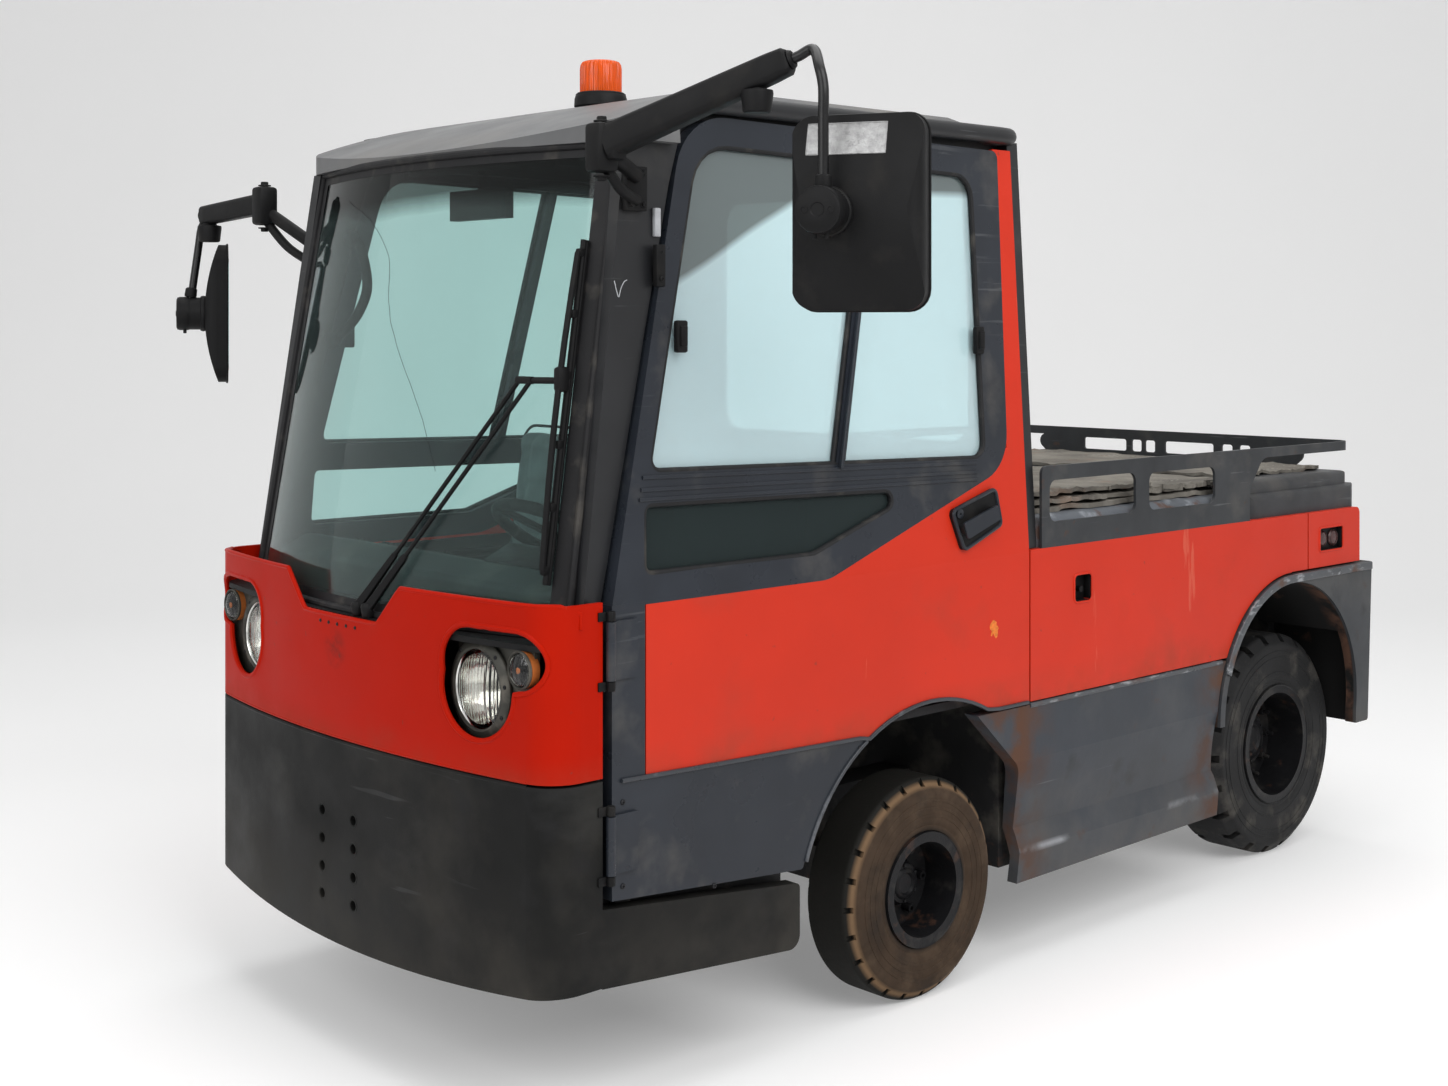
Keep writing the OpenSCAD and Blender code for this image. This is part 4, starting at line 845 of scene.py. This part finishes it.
# Beacon lens with its flutes
bm = bmesh.new()
base = V(454, 0, 2174)
profile = [(0, 0.4), (50, 0.4), (52, 3), (52, 30), (52, 62), (50.5, 72), (46, 79), (38, 82), (35, 80),
           (20, 81), (17, 85), (0, 87)]
lathe(bm, profile, base, Z, 112, lambda i, r, h: 1 - (0.05 if i % 4 in (0, 1) and r > 45 else 0))
lens = piece("beacon_lens_fluted", bm, "amber")
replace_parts(lens, "beacon_lens")
bm = bmesh.new()
lathe(bm, [(53, 4), (58, 3), (62, -2), (65, -12), (66, -30), (62, -34)], base, Z, 48)
lathe(bm, [(0, 6), (20, 6), (20, 20), (12, 24), (12, 60), (0, 66)], base, Z, 24)
for x, y in arc(0, 0, 0.058, (30, 150, 270)):
    screw(bm, base + vec(x, y, -0.001), Z, 3)
piece("beacon_collar", bm, "plastic")

# Mirrors
ARMS = {1: ((985, 670, 1968), (830, 1040, 2112), (839.9, 1139.5, 2095), (839.9, 1139.5, 1862.3)),
        -1: ((931, 800, 1923), (945, 1110, 1903), (938, 1139.5, 1890), (969.9, 1139.5, 1682))}
HEADS = {1: (770, 1160, 1818), -1: (900, 1160, 1636)}


def dome(z):
    """Height of the domed mirror back over the middle plane of the head."""
    return -485.7 + sqrt(503.7 ** 2 - z * z)


bm, bm_rod, bm_glass, bm_patch = (bmesh.new() for _ in range(4))
for s in (1, -1):
    hinge, elbow, top, foot = (V(p[0], s * p[1], p[2]) for p in ARMS[s])
    way = elbow - hinge
    big = 1.45 if s == 1 else 1.1
    sleeve = [hinge + way * k for k in (0.02, 0.06, 0.3, 0.62, 0.9, 0.985, 1.0)]
    sweep(bm, sleeve, rounded(25, 21, 12),
          scale=lambda t: big - (big - 1) * t - (0.14 if t > 0.99 else 0))
    block(bm, hinge + vec(0.006, -0.004 * s, -0.008), (27, 25, 50), r=0.2)
    block(bm, hinge + way * 0.035, (20, 30, 40), r=0.25)
    for k in (-0.064, 0.044):
        bolt(bm, hinge + vec(0.006, -0.004 * s, k), Z if k > 0 else -Z, 11)
    along = way.normalized()
    lathe(bm, [(0, 0), (17, 0), (20, 3), (17, 8), (12, 9)], elbow, along, 24)
    if s == 1:
        bend = [elbow + along * 0.02, elbow + along * 0.052, top + vec(-0.002, -0.012, -0.006),
                top + vec(0, 0, -0.045), top + vec(0, 0, -0.1)]
    else:
        bend = [elbow + along * 0.012, top + vec(-0.002, 0.008, 0), top + (foot - top) * 0.12,
                top + (foot - top) * 0.3]
    knee = [elbow - way * 0.03, *bend, (top + foot) / 2, foot]
    sweep(bm_rod, smooth_path(knee, 8), circle(10.5, 14))
    c = V(HEADS[s][0], s * HEADS[s][1], HEADS[s][2])
    a = radians(27 * s)
    n, u, w = vec(cos(a), sin(a), 0), vec(-sin(a), cos(a), 0), Z
    pc = c - u * 0.05 * s
    lathe(bm, [(44.4, 58), (45.6, 62), (45.6, 84), (43, 89.6), (38, 92.4), (14, 92.4), (12, 90.6),
               (0, 90.6)], pc, n, 40)
    lathe(bm, [(45.5, 12), (48, 16), (49, 22), (47.5, 28), (44.4, 30)], pc, n, 40)
    for t in (-0.026, 0.026):
        lathe(bm, [(7, 92), (8, 93.6), (5.5, 93.8), (5, 92.6), (0, 92.5)], pc + u * t, n, 16)
    for t in (-0.012, 0.012):
        lathe(bm, [(0, -54), (4, -54), (4.6, -52), (4.6, -40)], pc + n * 0.07 + u * t, w, 10)
    collar = [(11.2, -20), (15.5, -20), (16.5, -14), (15.5, 2), (11.2, 5)]
    lathe(bm, collar, foot + vec(0, 0, 0.019), top - foot, 20)
    knob = elbow - way * (0.17 if s == 1 else 0.08) - vec(0, 0, 0.022)
    lathe(bm, [(0, -52), (24, -52), (28, -49), (32, -14), (31, -8), (20, -6), (16, 4), (0, 6)], knob, Z, 32)
    edge = [c - n * 0.041 + (u * p[0] + w * p[1]) / 1000 for p in rounded(131.5, 187.5, 40, 6)]
    sweep(bm, edge, circle(3.2, 6), True)
    face = rounded(116, 172, 34, 6)
    ring = [bm_glass.verts.new(c - n * 0.0452 + (u * p[0] + w * p[1]) / 1000) for p in face]
    back = [bm_glass.verts.new(c - n * 0.042 + (u * p[0] + w * p[1]) * 1.02 / 1000) for p in face]
    bm_glass.faces.new(ring)
    bridge(bm_glass, ring, back)
    if s == 1:
        rows = [[bm_patch.verts.new(c + n * (dome(z) + 0.5) / 1000 + u * y / 1000 + w * z / 1000)
                 for y in range(-99, 60, 6)] for z in range(110, 172, 6)]
        for ra, rb in zip(rows, rows[1:]):
            bridge(bm_patch, ra, rb, closed=False)
        rim = rows[0] + [r[-1] for r in rows[1:]] + rows[-1][-2::-1] + [r[0] for r in rows[-2:0:-1]]
        sweep(bm_patch, [v.co.copy() for v in rim], circle(1.4, 5), True)
piece("mirror_fittings", bm, "plastic")
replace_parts(piece("mirror_rods", bm_rod, "rod"), "mirror_arms")
piece("mirror_faces", bm_glass, "mirror")
piece("mirror_patch", bm_patch, "paper")
bm, bm_pale = bmesh.new(), bmesh.new()
for s, z in ((1, 1930), (-1, 1830)):
    y0 = pillar_y(z - 90)
    block(bm, V(878, s * (y0 + 9), z - 45), (28, 8, 46), r=0.15)
    hinge = V(ARMS[s][0][0], s * ARMS[s][0][1], ARMS[s][0][2])
    for h, r in ((20, 16), (45, 11.5)):
        start = V(878, s * (y0 + 16), z + 20 - 2 * h)
        end = hinge - vec(0, 0, h / 1000)
        mid = (start + end) / 2 + vec(0.004, 0.004 * s, -0.012 if h > 30 else 0.004)
        sweep(bm, smooth_path([start, mid, end], 8), circle(r, 12))
    for dx, dz in ((-16, -12), (-16, -78), (16, -12), (16, -78)):
        bolt(bm, V(878 + dx, s * (y0 + 17), z + dz), Y * s, 5.5)
    block(bm_pale, V(fx(z - 112) + 28, s * (pillar_y(z - 112) + 5), z - 112), (8, 5, 30), r=0.2)
piece("mirror_brackets", bm, "plastic")
piece("pillar_plates", bm_pale, "pale")

# Pale scratch on the left pillar and a chip in the left door's paint
bm = bmesh.new()
scratch = ((930, 1694), (924, 1672), (919, 1661), (913, 1678), (904, 1692), (896, 1696))
scratch = [V(x, pillar_y(z) + 0.4, z) for x, z in scratch]
sweep(bm, smooth_path(scratch, 4), circle(1.1, 5))
piece("pillar_scratch", bm, "pale")
bm = bmesh.new()
flake = []
for i in range(22):
    t = 2 * pi * i / 22
    r = 15 + 12 * noise.noise(vec(cos(t) * 1.7, sin(t) * 1.7, 0.4))
    flake.append((-230 + r * cos(t), 858 + 1.2 * r * sin(t)))
plate(bm, flake, on_side(1, HALF), 0.5, 0.3)
piece("door_left_chip", bm, "chip", "door_left")

# Door hinges, slimmer than their solids, and the dark sill behind each door
bm, bm_sill = bmesh.new(), bmesh.new()
for s in (1, -1):
    for z in (500, 890):
        pin = V(987, s * 691, z)
        lathe(bm, [(0, -20), (8, -20), (9, -18), (9, -1), (5, 0), (5, 120), (9, 121), (9, 138),
                   (8, 140), (0, 140)], pin, Z, 24)
        for h in (-10, 130):
            block(bm, pin + vec(0.014, -0.006 * s, h / 1000), (14, 2, 9), r=0.2)
    plate(bm_sill, [(978, 380), (978, 474), (448, 415), (448, 322)], on_side(s, 600), 30, 3)
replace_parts(piece("hinge_pins", bm, "plastic"), "door_hinges")
piece("inner_sills", bm_sill, "rubber")

# Wiper blade and joints
bm = bmesh.new()
b0, b1 = V(942, 548, 1780), V(1060, 571, 1077)
way = b1 - b0
front_dir = vec(1, 0.12, 0.2).normalized()
sweep(bm, [b0 + way * k - front_dir * 0.006 for k in (0, 0.25, 0.5, 0.75, 1)], rounded(3.5, 8, 2))
bow = [b0 + way * k + front_dir * (0.012 + 0.014 * sin(pi * k))
       for k in (0.04, 0.15, 0.3, 0.45, 0.55, 0.7, 0.85, 0.96)]
sweep(bm, bow, rounded(4, 7, 2))
for k in (0.04, 0.22, 0.4, 0.6, 0.78, 0.96):
    block(bm, b0 + way * k + front_dir * 0.006, (9, 7, 9), r=0.25)
block(bm, b0 + way * 0.415 + front_dir * 0.02, (14, 12, 26), r=0.3)
for y in (52, 92):
    lathe(bm, [(0, -8), (11, -8), (13, -4), (13, 16), (9, 22), (0, 24)], V(1178, y, 978), (0.2, 0, 1), 20)
    a, b = V(1178, y, 988), V(1030, 463 + y - 72, 1489)
    arm = [a + (b - a) * k for k in (0.0, 0.12, 0.24)]
    sweep(bm, arm, rounded(9, 7, 3), scale=lambda t: 1.1 - 0.35 * t)
piece("wiper_blade", bm, "plastic")

# Wheels: sidewall rings, nuts, hub caps and rim flanges
def wheel(name, s, x, y, r, half, bead, disc, hub, nuts, ring, nut_r, long):
    c, d, body = V(x, s * y, r), Y * s, f"{name}_wheel"

    def spot(turn, radius, out):
        return c + vec(cos(turn), 0, sin(turn)) * radius / 1000 + d * out / 1000

    bm = bmesh.new()
    for rr in (bead + 52, r - 52, r - 70):
        lathe(bm, [(rr - 4, half - 2), (rr - 2.5, half + 1.2), (rr + 2.5, half + 1.2), (rr + 4, half - 2)],
              c, d, 96)
    lathe(bm, [(bead + 14, half - 8), (bead + 17, half - 4), (bead + 24, half - 3), (bead + 30, half - 5)],
          c, d, 96)
    tyre = "worn_tyre" if "front" in name else "tyre"
    piece(f"{name}_sidewall", bm, tyre, body)
    bm = bmesh.new()
    face = disc + 12
    for i in range(nuts):
        p = spot(2 * pi * i / nuts, ring, face)
        lathe(bm, [(0, 0), (nut_r * 1.5, 0), (nut_r * 1.5, 4), (nut_r * 1.2, 6), (0, 6)], p, d, 20)
        lathe(bm, [(0, 6), (nut_r * 1.15, 6), (nut_r * 1.15, 22), (nut_r, 25), (0, 25)], p, d, 6)
        lathe(bm, [(0, 25), (nut_r * 0.62, 25), (nut_r * 0.62, 25 + long), (nut_r * 0.5, 28 + long),
                   (0, 28 + long)], p, d, 14)
    lathe(bm, [(0, disc + 58), (hub * 0.42, disc + 58), (hub * 0.5, disc + 64), (hub * 0.62, disc + 62),
               (hub * 0.7, disc + 57), (hub * 0.86, disc + 55), (hub * 0.92, disc + 50)], c, d, 48)
    for i in range(6):
        bolt(bm, spot(2 * pi * (i + 0.5) / 6, hub * 0.78, disc + 55), d, 4.5, washer=False)
    lathe(bm, [(hub + 4, face + 2), (hub + 8, face + 8), (hub + 14, face + 3)], c, d, 48)
    lathe(bm, [(bead + 10, half - 1), (bead + 14, half + 2), (bead + 13, half - 6), (bead + 6, half - 9),
               (bead - 4, half - 7), (bead - 9, half - 2)], c, d, 72)
    v = spot(0.5, bead - 22, face + 10)
    sweep(bm, [v, v + d * 0.02, v + d * 0.035 + vec(0.012, 0, 0.006)], circle(4.5, 8))
    piece(f"{name}_hub", bm, "rim", body)


for side, s in SIDES:
    wheel(f"front_{side}", s, 0, 584, FRONT_R, half=80, bead=122, disc=-44, hub=54, nuts=6, ring=82,
          nut_r=9, long=4)
    wheel(f"rear_{side}", s, -WHEELBASE, 484, REAR_R, half=95, bead=164, disc=-50, hub=86, nuts=10, ring=118,
          nut_r=10, long=22)


# Deck: layered weathered mats with ribs and ragged edges, in millimetres
def sheet_mesh(name, x0, x1, y0, y1, z, t, rib, seed, ripple, nx=90, ny=110):
    bm = bmesh.new()
    top, low = [], []
    for i in range(nx + 1):
        u = i / nx
        row_t, row_l = [], []
        for j in range(ny + 1):
            v = j / ny
            edge = min(u, 1 - u, v, 1 - v)
            far = max(0, 1 - edge * 14)
            q = vec(u * 9 + seed, v * 9, seed * 1.7)
            x = x0 + (x1 - x0) * u + 22 * far * noise.noise(q * 2.1)
            y = y0 + (y1 - y0) * v + 18 * far * noise.noise(q * 2.4 + vec(5, 5, 5))
            lift = ripple * (0.5 + 0.5 * noise.noise(q * 0.5)) + far * 9 * noise.noise(q * 1.6)
            h = max(lift, 0) + rib * (0.5 + 0.5 * cos(2 * pi * x / 28))
            row_t.append(bm.verts.new(V(x, y, z + t + h)))
            row_l.append(bm.verts.new(V(x, y, z + max(lift, 0) * 0.9)))
        top.append(row_t)
        low.append(row_l)
    top_cols, low_cols = list(zip(*top)), list(zip(*low))
    for rows in (top_cols, low):
        for a, b in zip(rows, rows[1:]):
            bridge(bm, a, b, closed=False)
    for k in (0, -1):
        bridge(bm, top[k], low[k], closed=False)
        bridge(bm, top_cols[k], low_cols[k], closed=False)
    return piece(name, bm, "mat", angle=50)


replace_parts(sheet_mesh("deck_mat_low", -1380, -432, -632, 632, 1120.5, 12, 0, 1.3, 4), "deck_mats")
sheet_mesh("deck_mat_mid", -1130, -436, -626, 626, 1140, 10, 1.5, 4.1, 6)
sheet_mesh("deck_mat_rear", -1376, -980, -622, 628, 1144, 10, 2, 7.7, 6)
sheet_mesh("deck_mat_top", -1010, -440, -600, 615, 1160, 9, 3, 9.2, 6)
sheet_mesh("hood_mat", -WHEELBASE - 270, -WHEELBASE + 268, -560, 572, 1151.2, 7, 3, 12.4, 3, nx=140, ny=60)

# Dark rolled rim along the sides and the rear of the roof
bm = bmesh.new()
RIM_Z = 2080
half_rim = [(740, 626), (640, 626), (520, 625), (200, 625), (-200, 625), (-340, 624), (-380, 606),
            (-390, 560), (-391, 300)]
rim = [V(x, y, RIM_Z) for x, y in half_rim] + [V(x, -y, RIM_Z) for x, y in reversed(half_rim)]
sweep(bm, smooth_path(rim, 6), circle(22, 16), scale=lambda t: min(1, 0.4 + 14 * min(t, 1 - t)))
piece("roof_rim", bm, "black")

# Tail of the roof: closes the slot between the roof and the rear wall
bm = bmesh.new()
tail = [(-200, 2100), (-230, 2095.5), (-260, 2087.5), (-280, 2081.5), (-300, 2074.5), (-322, 2069),
        (-385, 2069), (-385, 2060), (-322, 2060), (-200, 2094)]
plate(bm, tail, lambda u, v, o: V(u, o - 606, v), 1212, 1)
piece("roof_tail", bm, "roof")

# Rear corner lamps and the hole trim
bm, bm_lens = bmesh.new(), bmesh.new()
for s in (1, -1):
    for x, z, out, shape in ((-595.5, 924.5, 0.5, rounded(38.5, 36.5, 14)),
                             (-1856, 954, 0.3, rounded(70, 36, 8))):
        edge = [V(a + x, s * (HALF + out), b + z) for a, b in shape]
        sweep(bm, edge, circle(3, 6), True)
    for x in (-1824, -1888):
        lathe(bm_lens, [(25, 0), (26, 6), (23, 10), (22, 8)], V(x, s * 664, 954), Y * s, 32)
        lathe(bm_lens, [(20, 9.2), (17, 11.4), (9, 13), (0, 13.4)], V(x, s * 664, 954), Y * s, 32)
piece("hole_trim", bm, "red")
piece("corner_lamps", bm_lens, "tail")
bm = bmesh.new()
for s in (1, -1):
    for x, z, a, b in ((-1856, 954, 68, 34), (-595.5, 924.5, 36, 34)):
        for dx, dz, ha, hb in ((a, 0, 1.2, b), (-a, 0, 1.2, b), (0, b, a, 1.2), (0, -b, a, 1.2)):
            block(bm, V(x + dx, s * 669, z + dz), (ha, 11, hb), r=0.1)
        block(bm, V(x, s * (665 if x < -1000 else 659), z), (a, 0.9, b), r=0.1)
    block(bm, V(-595, s * 640, 924), (42, 6, 42), r=0.1)
    lathe(bm, [(0, 0), (16, 0), (16, 14), (8, 16), (8, 30), (0, 31)], V(-600, s * 644, 920), Y * s, 20)
piece("hole_backing", bm, "plastic")

# Lips of the fenders and skirts, with pale patches that are partly wear and partly painted highlight, and
# the red corner over each arch
bm, bm_red = bmesh.new(), bmesh.new()
ARCH_X, ARCH_Z, ARCH_R = -1628, 468, 372
for s in (1, -1):
    edge = arc(ARCH_X, ARCH_Z, ARCH_R + 13, range(22, 91, 4))
    edge += [(-1700, 853), (-1850, 853), (-2000, 853), (-2088, 852)]
    path = [V(x, s * 690, z) for x, z in edge]
    sweep(bm, path, rounded(12.5, 5, 4))
    path = [V(-375 - 874 * i / 20, s * 680, 650) for i in range(21)]
    sweep(bm, path, circle(7, 10))
    gusset = arc(ARCH_X, ARCH_Z, ARCH_R + 30, range(90, 73, -2))
    gusset += [(gusset[-1][0], 873), (ARCH_X, 873)]
    plate(bm_red, gusset, on_side(s, HALF - 12), 11.5, 0.4)
piece("lips_wear_and_painted_highlight", bm, "lip")
piece("arch_corners", bm_red, "red")

# Seats: padded vinyl that is blown up by cloth simulation, then sewn
def evaluated(ob):
    return ob.evaluated_get(bpy.context.evaluated_depsgraph_get())


def simulate(ob, cap, pressure=4.0, last=14):
    """Blows the pad up, by no more than cap metres at any point."""
    start = [v.co.copy() for v in ob.data.vertices]
    mod = ob.modifiers.new("cloth", "CLOTH")
    mod.settings.use_pressure = True
    mod.settings.uniform_pressure_force = pressure
    mod.settings.effector_weights.gravity = 0
    mod.settings.quality = 3
    mod.point_cache.frame_end = last
    for f in range(1, last + 1):
        scene.frame_set(f)
    ends = [v.co.copy() for v in evaluated(ob).data.vertices]
    ob.modifiers.remove(mod)
    scene.frame_set(1)
    for v, a, b in zip(ob.data.vertices, start, ends):
        d = b - a
        v.co = a + d * min(1, cap / max(d.length, 1e-9))


def pad_mesh(name, size, grooves, cap=0.012):
    """A pad of the given half sizes in metres, with sewn channels across its top (+Z)."""
    bm = bmesh.new()
    bmesh.ops.create_cube(bm, size=2)
    bmesh.ops.scale(bm, vec=[k - 0.01 for k in size], verts=bm.verts)
    bmesh.ops.bevel(bm, geom=list(bm.edges), offset=size[2] * 0.45, segments=4, profile=0.5, affect="EDGES")
    ob = linked(name, mesh_of(name, bm))
    mod = ob.modifiers.new("remesh", "REMESH")
    mod.mode = "VOXEL"
    mod.voxel_size = 0.01
    ob.data = bpy.data.meshes.new_from_object(evaluated(ob))
    ob.modifiers.clear()
    simulate(ob, cap)
    for v in ob.data.vertices:
        x, y, z = v.co
        top = max(0.0, min(1.0, z / size[2]))
        dip = sum(exp(-((x - g) / 0.007) ** 2) for g in grooves if abs(y) < size[1] * 0.62)
        dip += 0.9 * exp(-((abs(y) - size[1] * 0.64) / 0.007) ** 2)
        v.co.z -= 0.009 * dip * top
        v.co.z += 0.012 * top * max(0, abs(y) / size[1] - 0.64) / 0.36
        v.co.z -= 0.006 * top * exp(-(x / size[0]) ** 2 * 2 - (y / size[1]) ** 2 * 4)
        v.co.z = max(v.co.z, 0.0005 - size[2])
        v.co.x = max(min(v.co.x, size[0]), -size[0])
        v.co.y = max(min(v.co.y, size[1]), -size[1])
    mod = ob.modifiers.new("soft", "SUBSURF")
    mod.levels = mod.render_levels = 1
    me = bpy.data.meshes.new_from_object(evaluated(ob))
    bpy.data.objects.remove(ob)
    for p in me.polygons:
        p.use_smooth = True
    me.materials.clear()
    me.materials.append(M["vinyl"])
    return me


cushion = pad_mesh("seat_cushion", (0.212, 0.228, 0.058), (-0.1, -0.03, 0.04, 0.11))
backrest = pad_mesh("seat_back", (0.265, 0.218, 0.054), (-0.17, -0.1, -0.03, 0.04, 0.11))
SEAT_Y = 325
LEAN = radians(-8)
up, out = vec(sin(LEAN), 0, cos(LEAN)), vec(cos(LEAN), 0, -sin(LEAN))


def seat_part(name, mesh, matrix):
    ob = linked(name, mesh.copy())
    ob.matrix_world = matrix
    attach(ob, "chassis")
    return ob


for side, s in SIDES:
    flat = Matrix.Translation(V(616, s * SEAT_Y, 850))
    steep = Matrix((up, Y, out)).transposed().to_4x4()
    steep.translation = V(285, s * SEAT_Y, 790.3) + out * 0.055 + up * 0.27
    ob = seat_part(f"seat_{side}_cushion", cushion, flat)
    if s == 1:
        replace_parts(ob, "seats")
    seat_part(f"seat_{side}_back", backrest, steep)
    bm = bmesh.new()
    for m, a, b, h in ((flat, 212, 229, 20), (steep, 265, 219, 16)):
        sweep(bm, [m @ (vec(*p, h) / 1000) for p in rounded(a, b, 50, 6)], circle(4, 6), True)
    piece(f"seat_{side}_piping", bm, "rubber")
    bm = bmesh.new()
    for k in range(5):
        fold = 6 * (k % 2)
        ring = rounded(140 - fold, 155 - fold, 30, 5)
        sweep(bm, [V(560 + x, s * SEAT_Y + y, 700 + k * 18) for x, y in ring], circle(9, 8), True)
    piece(f"seat_{side}_bellows", bm, "rubber")

# Steering wheel cap and rim wrap, column and pedals
bm = bmesh.new()
TILT = radians(32)
axis = vec(-sin(TILT), 0, cos(TILT))
hub = V(800, SEAT_Y, 1120)
lathe(bm, [(0, 22), (14, 21), (30, 16), (40, 9), (43, 2), (40, 0)], hub, axis, 40)
for a, b in arc(0, 0, 1, range(0, 360, 20)):
    r = vec(a * cos(TILT), b, a * sin(TILT))
    lathe(bm, [(14.2, -3), (15, -1.5), (15, 1.5), (14.2, 3)], hub + r * 0.18, axis.cross(r), 14)
piece("steering_wheel_trim", bm, "rubber", "steering_wheel")
bm = bmesh.new()
stem = hub - axis * 0.1
for s in (1, -1):
    sweep(bm, [stem, stem + vec(0, 0.1 * s, 0.02), hub - axis * 0.09 + vec(0, 0.17 * s, 0.05)], circle(6, 8))
lathe(bm, [(32, -150), (40, -146), (44, -110), (44, -60), (38, -52), (31, -50)], hub, axis, 32)
for y in (270, 380):
    pedal = V(905, y, 560)
    block(bm, pedal, (8, 34, 50), leaning(cos(0.6), sin(0.6)), 0.2)
    sweep(bm, [pedal, V(965, y, 670), V(980, y, 796)], circle(9, 8))
piece("column_and_pedals", bm, "plastic")

# Dashboard instruments, grab handle, sun visor and inner mirror face
bm = bmesh.new()
block(bm, V(905, SEAT_Y, 1086), (44, 130, 20), leaning(0.9, -0.42), 0.3)
for y in (-420, -300, -180, -60):
    block(bm, V(872, y, 1062), (14, 34, 5), leaning(0.87, 0.49), 0.3)
    for k in (-18, 0, 18):
        block(bm, V(871, y + k, 1068), (9, 5, 4), leaning(0.87, 0.49), 0.25)
for k in range(7):
    block(bm, V(770 + 8 * k, 0, 2022 - 9 * k), (3, 300, 5), leaning(0.8, -0.6), 0.25)
for y in (-298, 298):
    block(bm, V(794, y, 1998), (34, 5, 40), r=0.2)
    sweep(bm, [V(794, y, 2010), V(794, y, 2029.5)], circle(8, 8))
path = [V(*p) for p in ((819, -562, 1827), (796, -553, 1800), (778, -551, 1707), (800, -553, 1640),
                        (840, -556, 1591), (869, -566, 1566))]
sweep(bm, smooth_path(path, 8), circle(13, 12))
for p in (path[0], path[-1]):
    lathe(bm, [(0, -4), (22, -4), (24, 0), (20, 10), (14, 16), (0, 16)], p, (0, 1, 0.1), 24)
piece("cab_fittings", bm, "plastic")
bm = bmesh.new()
plate(bm, rounded(106, 31, 12), lambda u, v, o: V(799.6 - o, u, 1885 + v), 1.5, 0.6)
piece("inner_mirror_face", bm, "mirror")
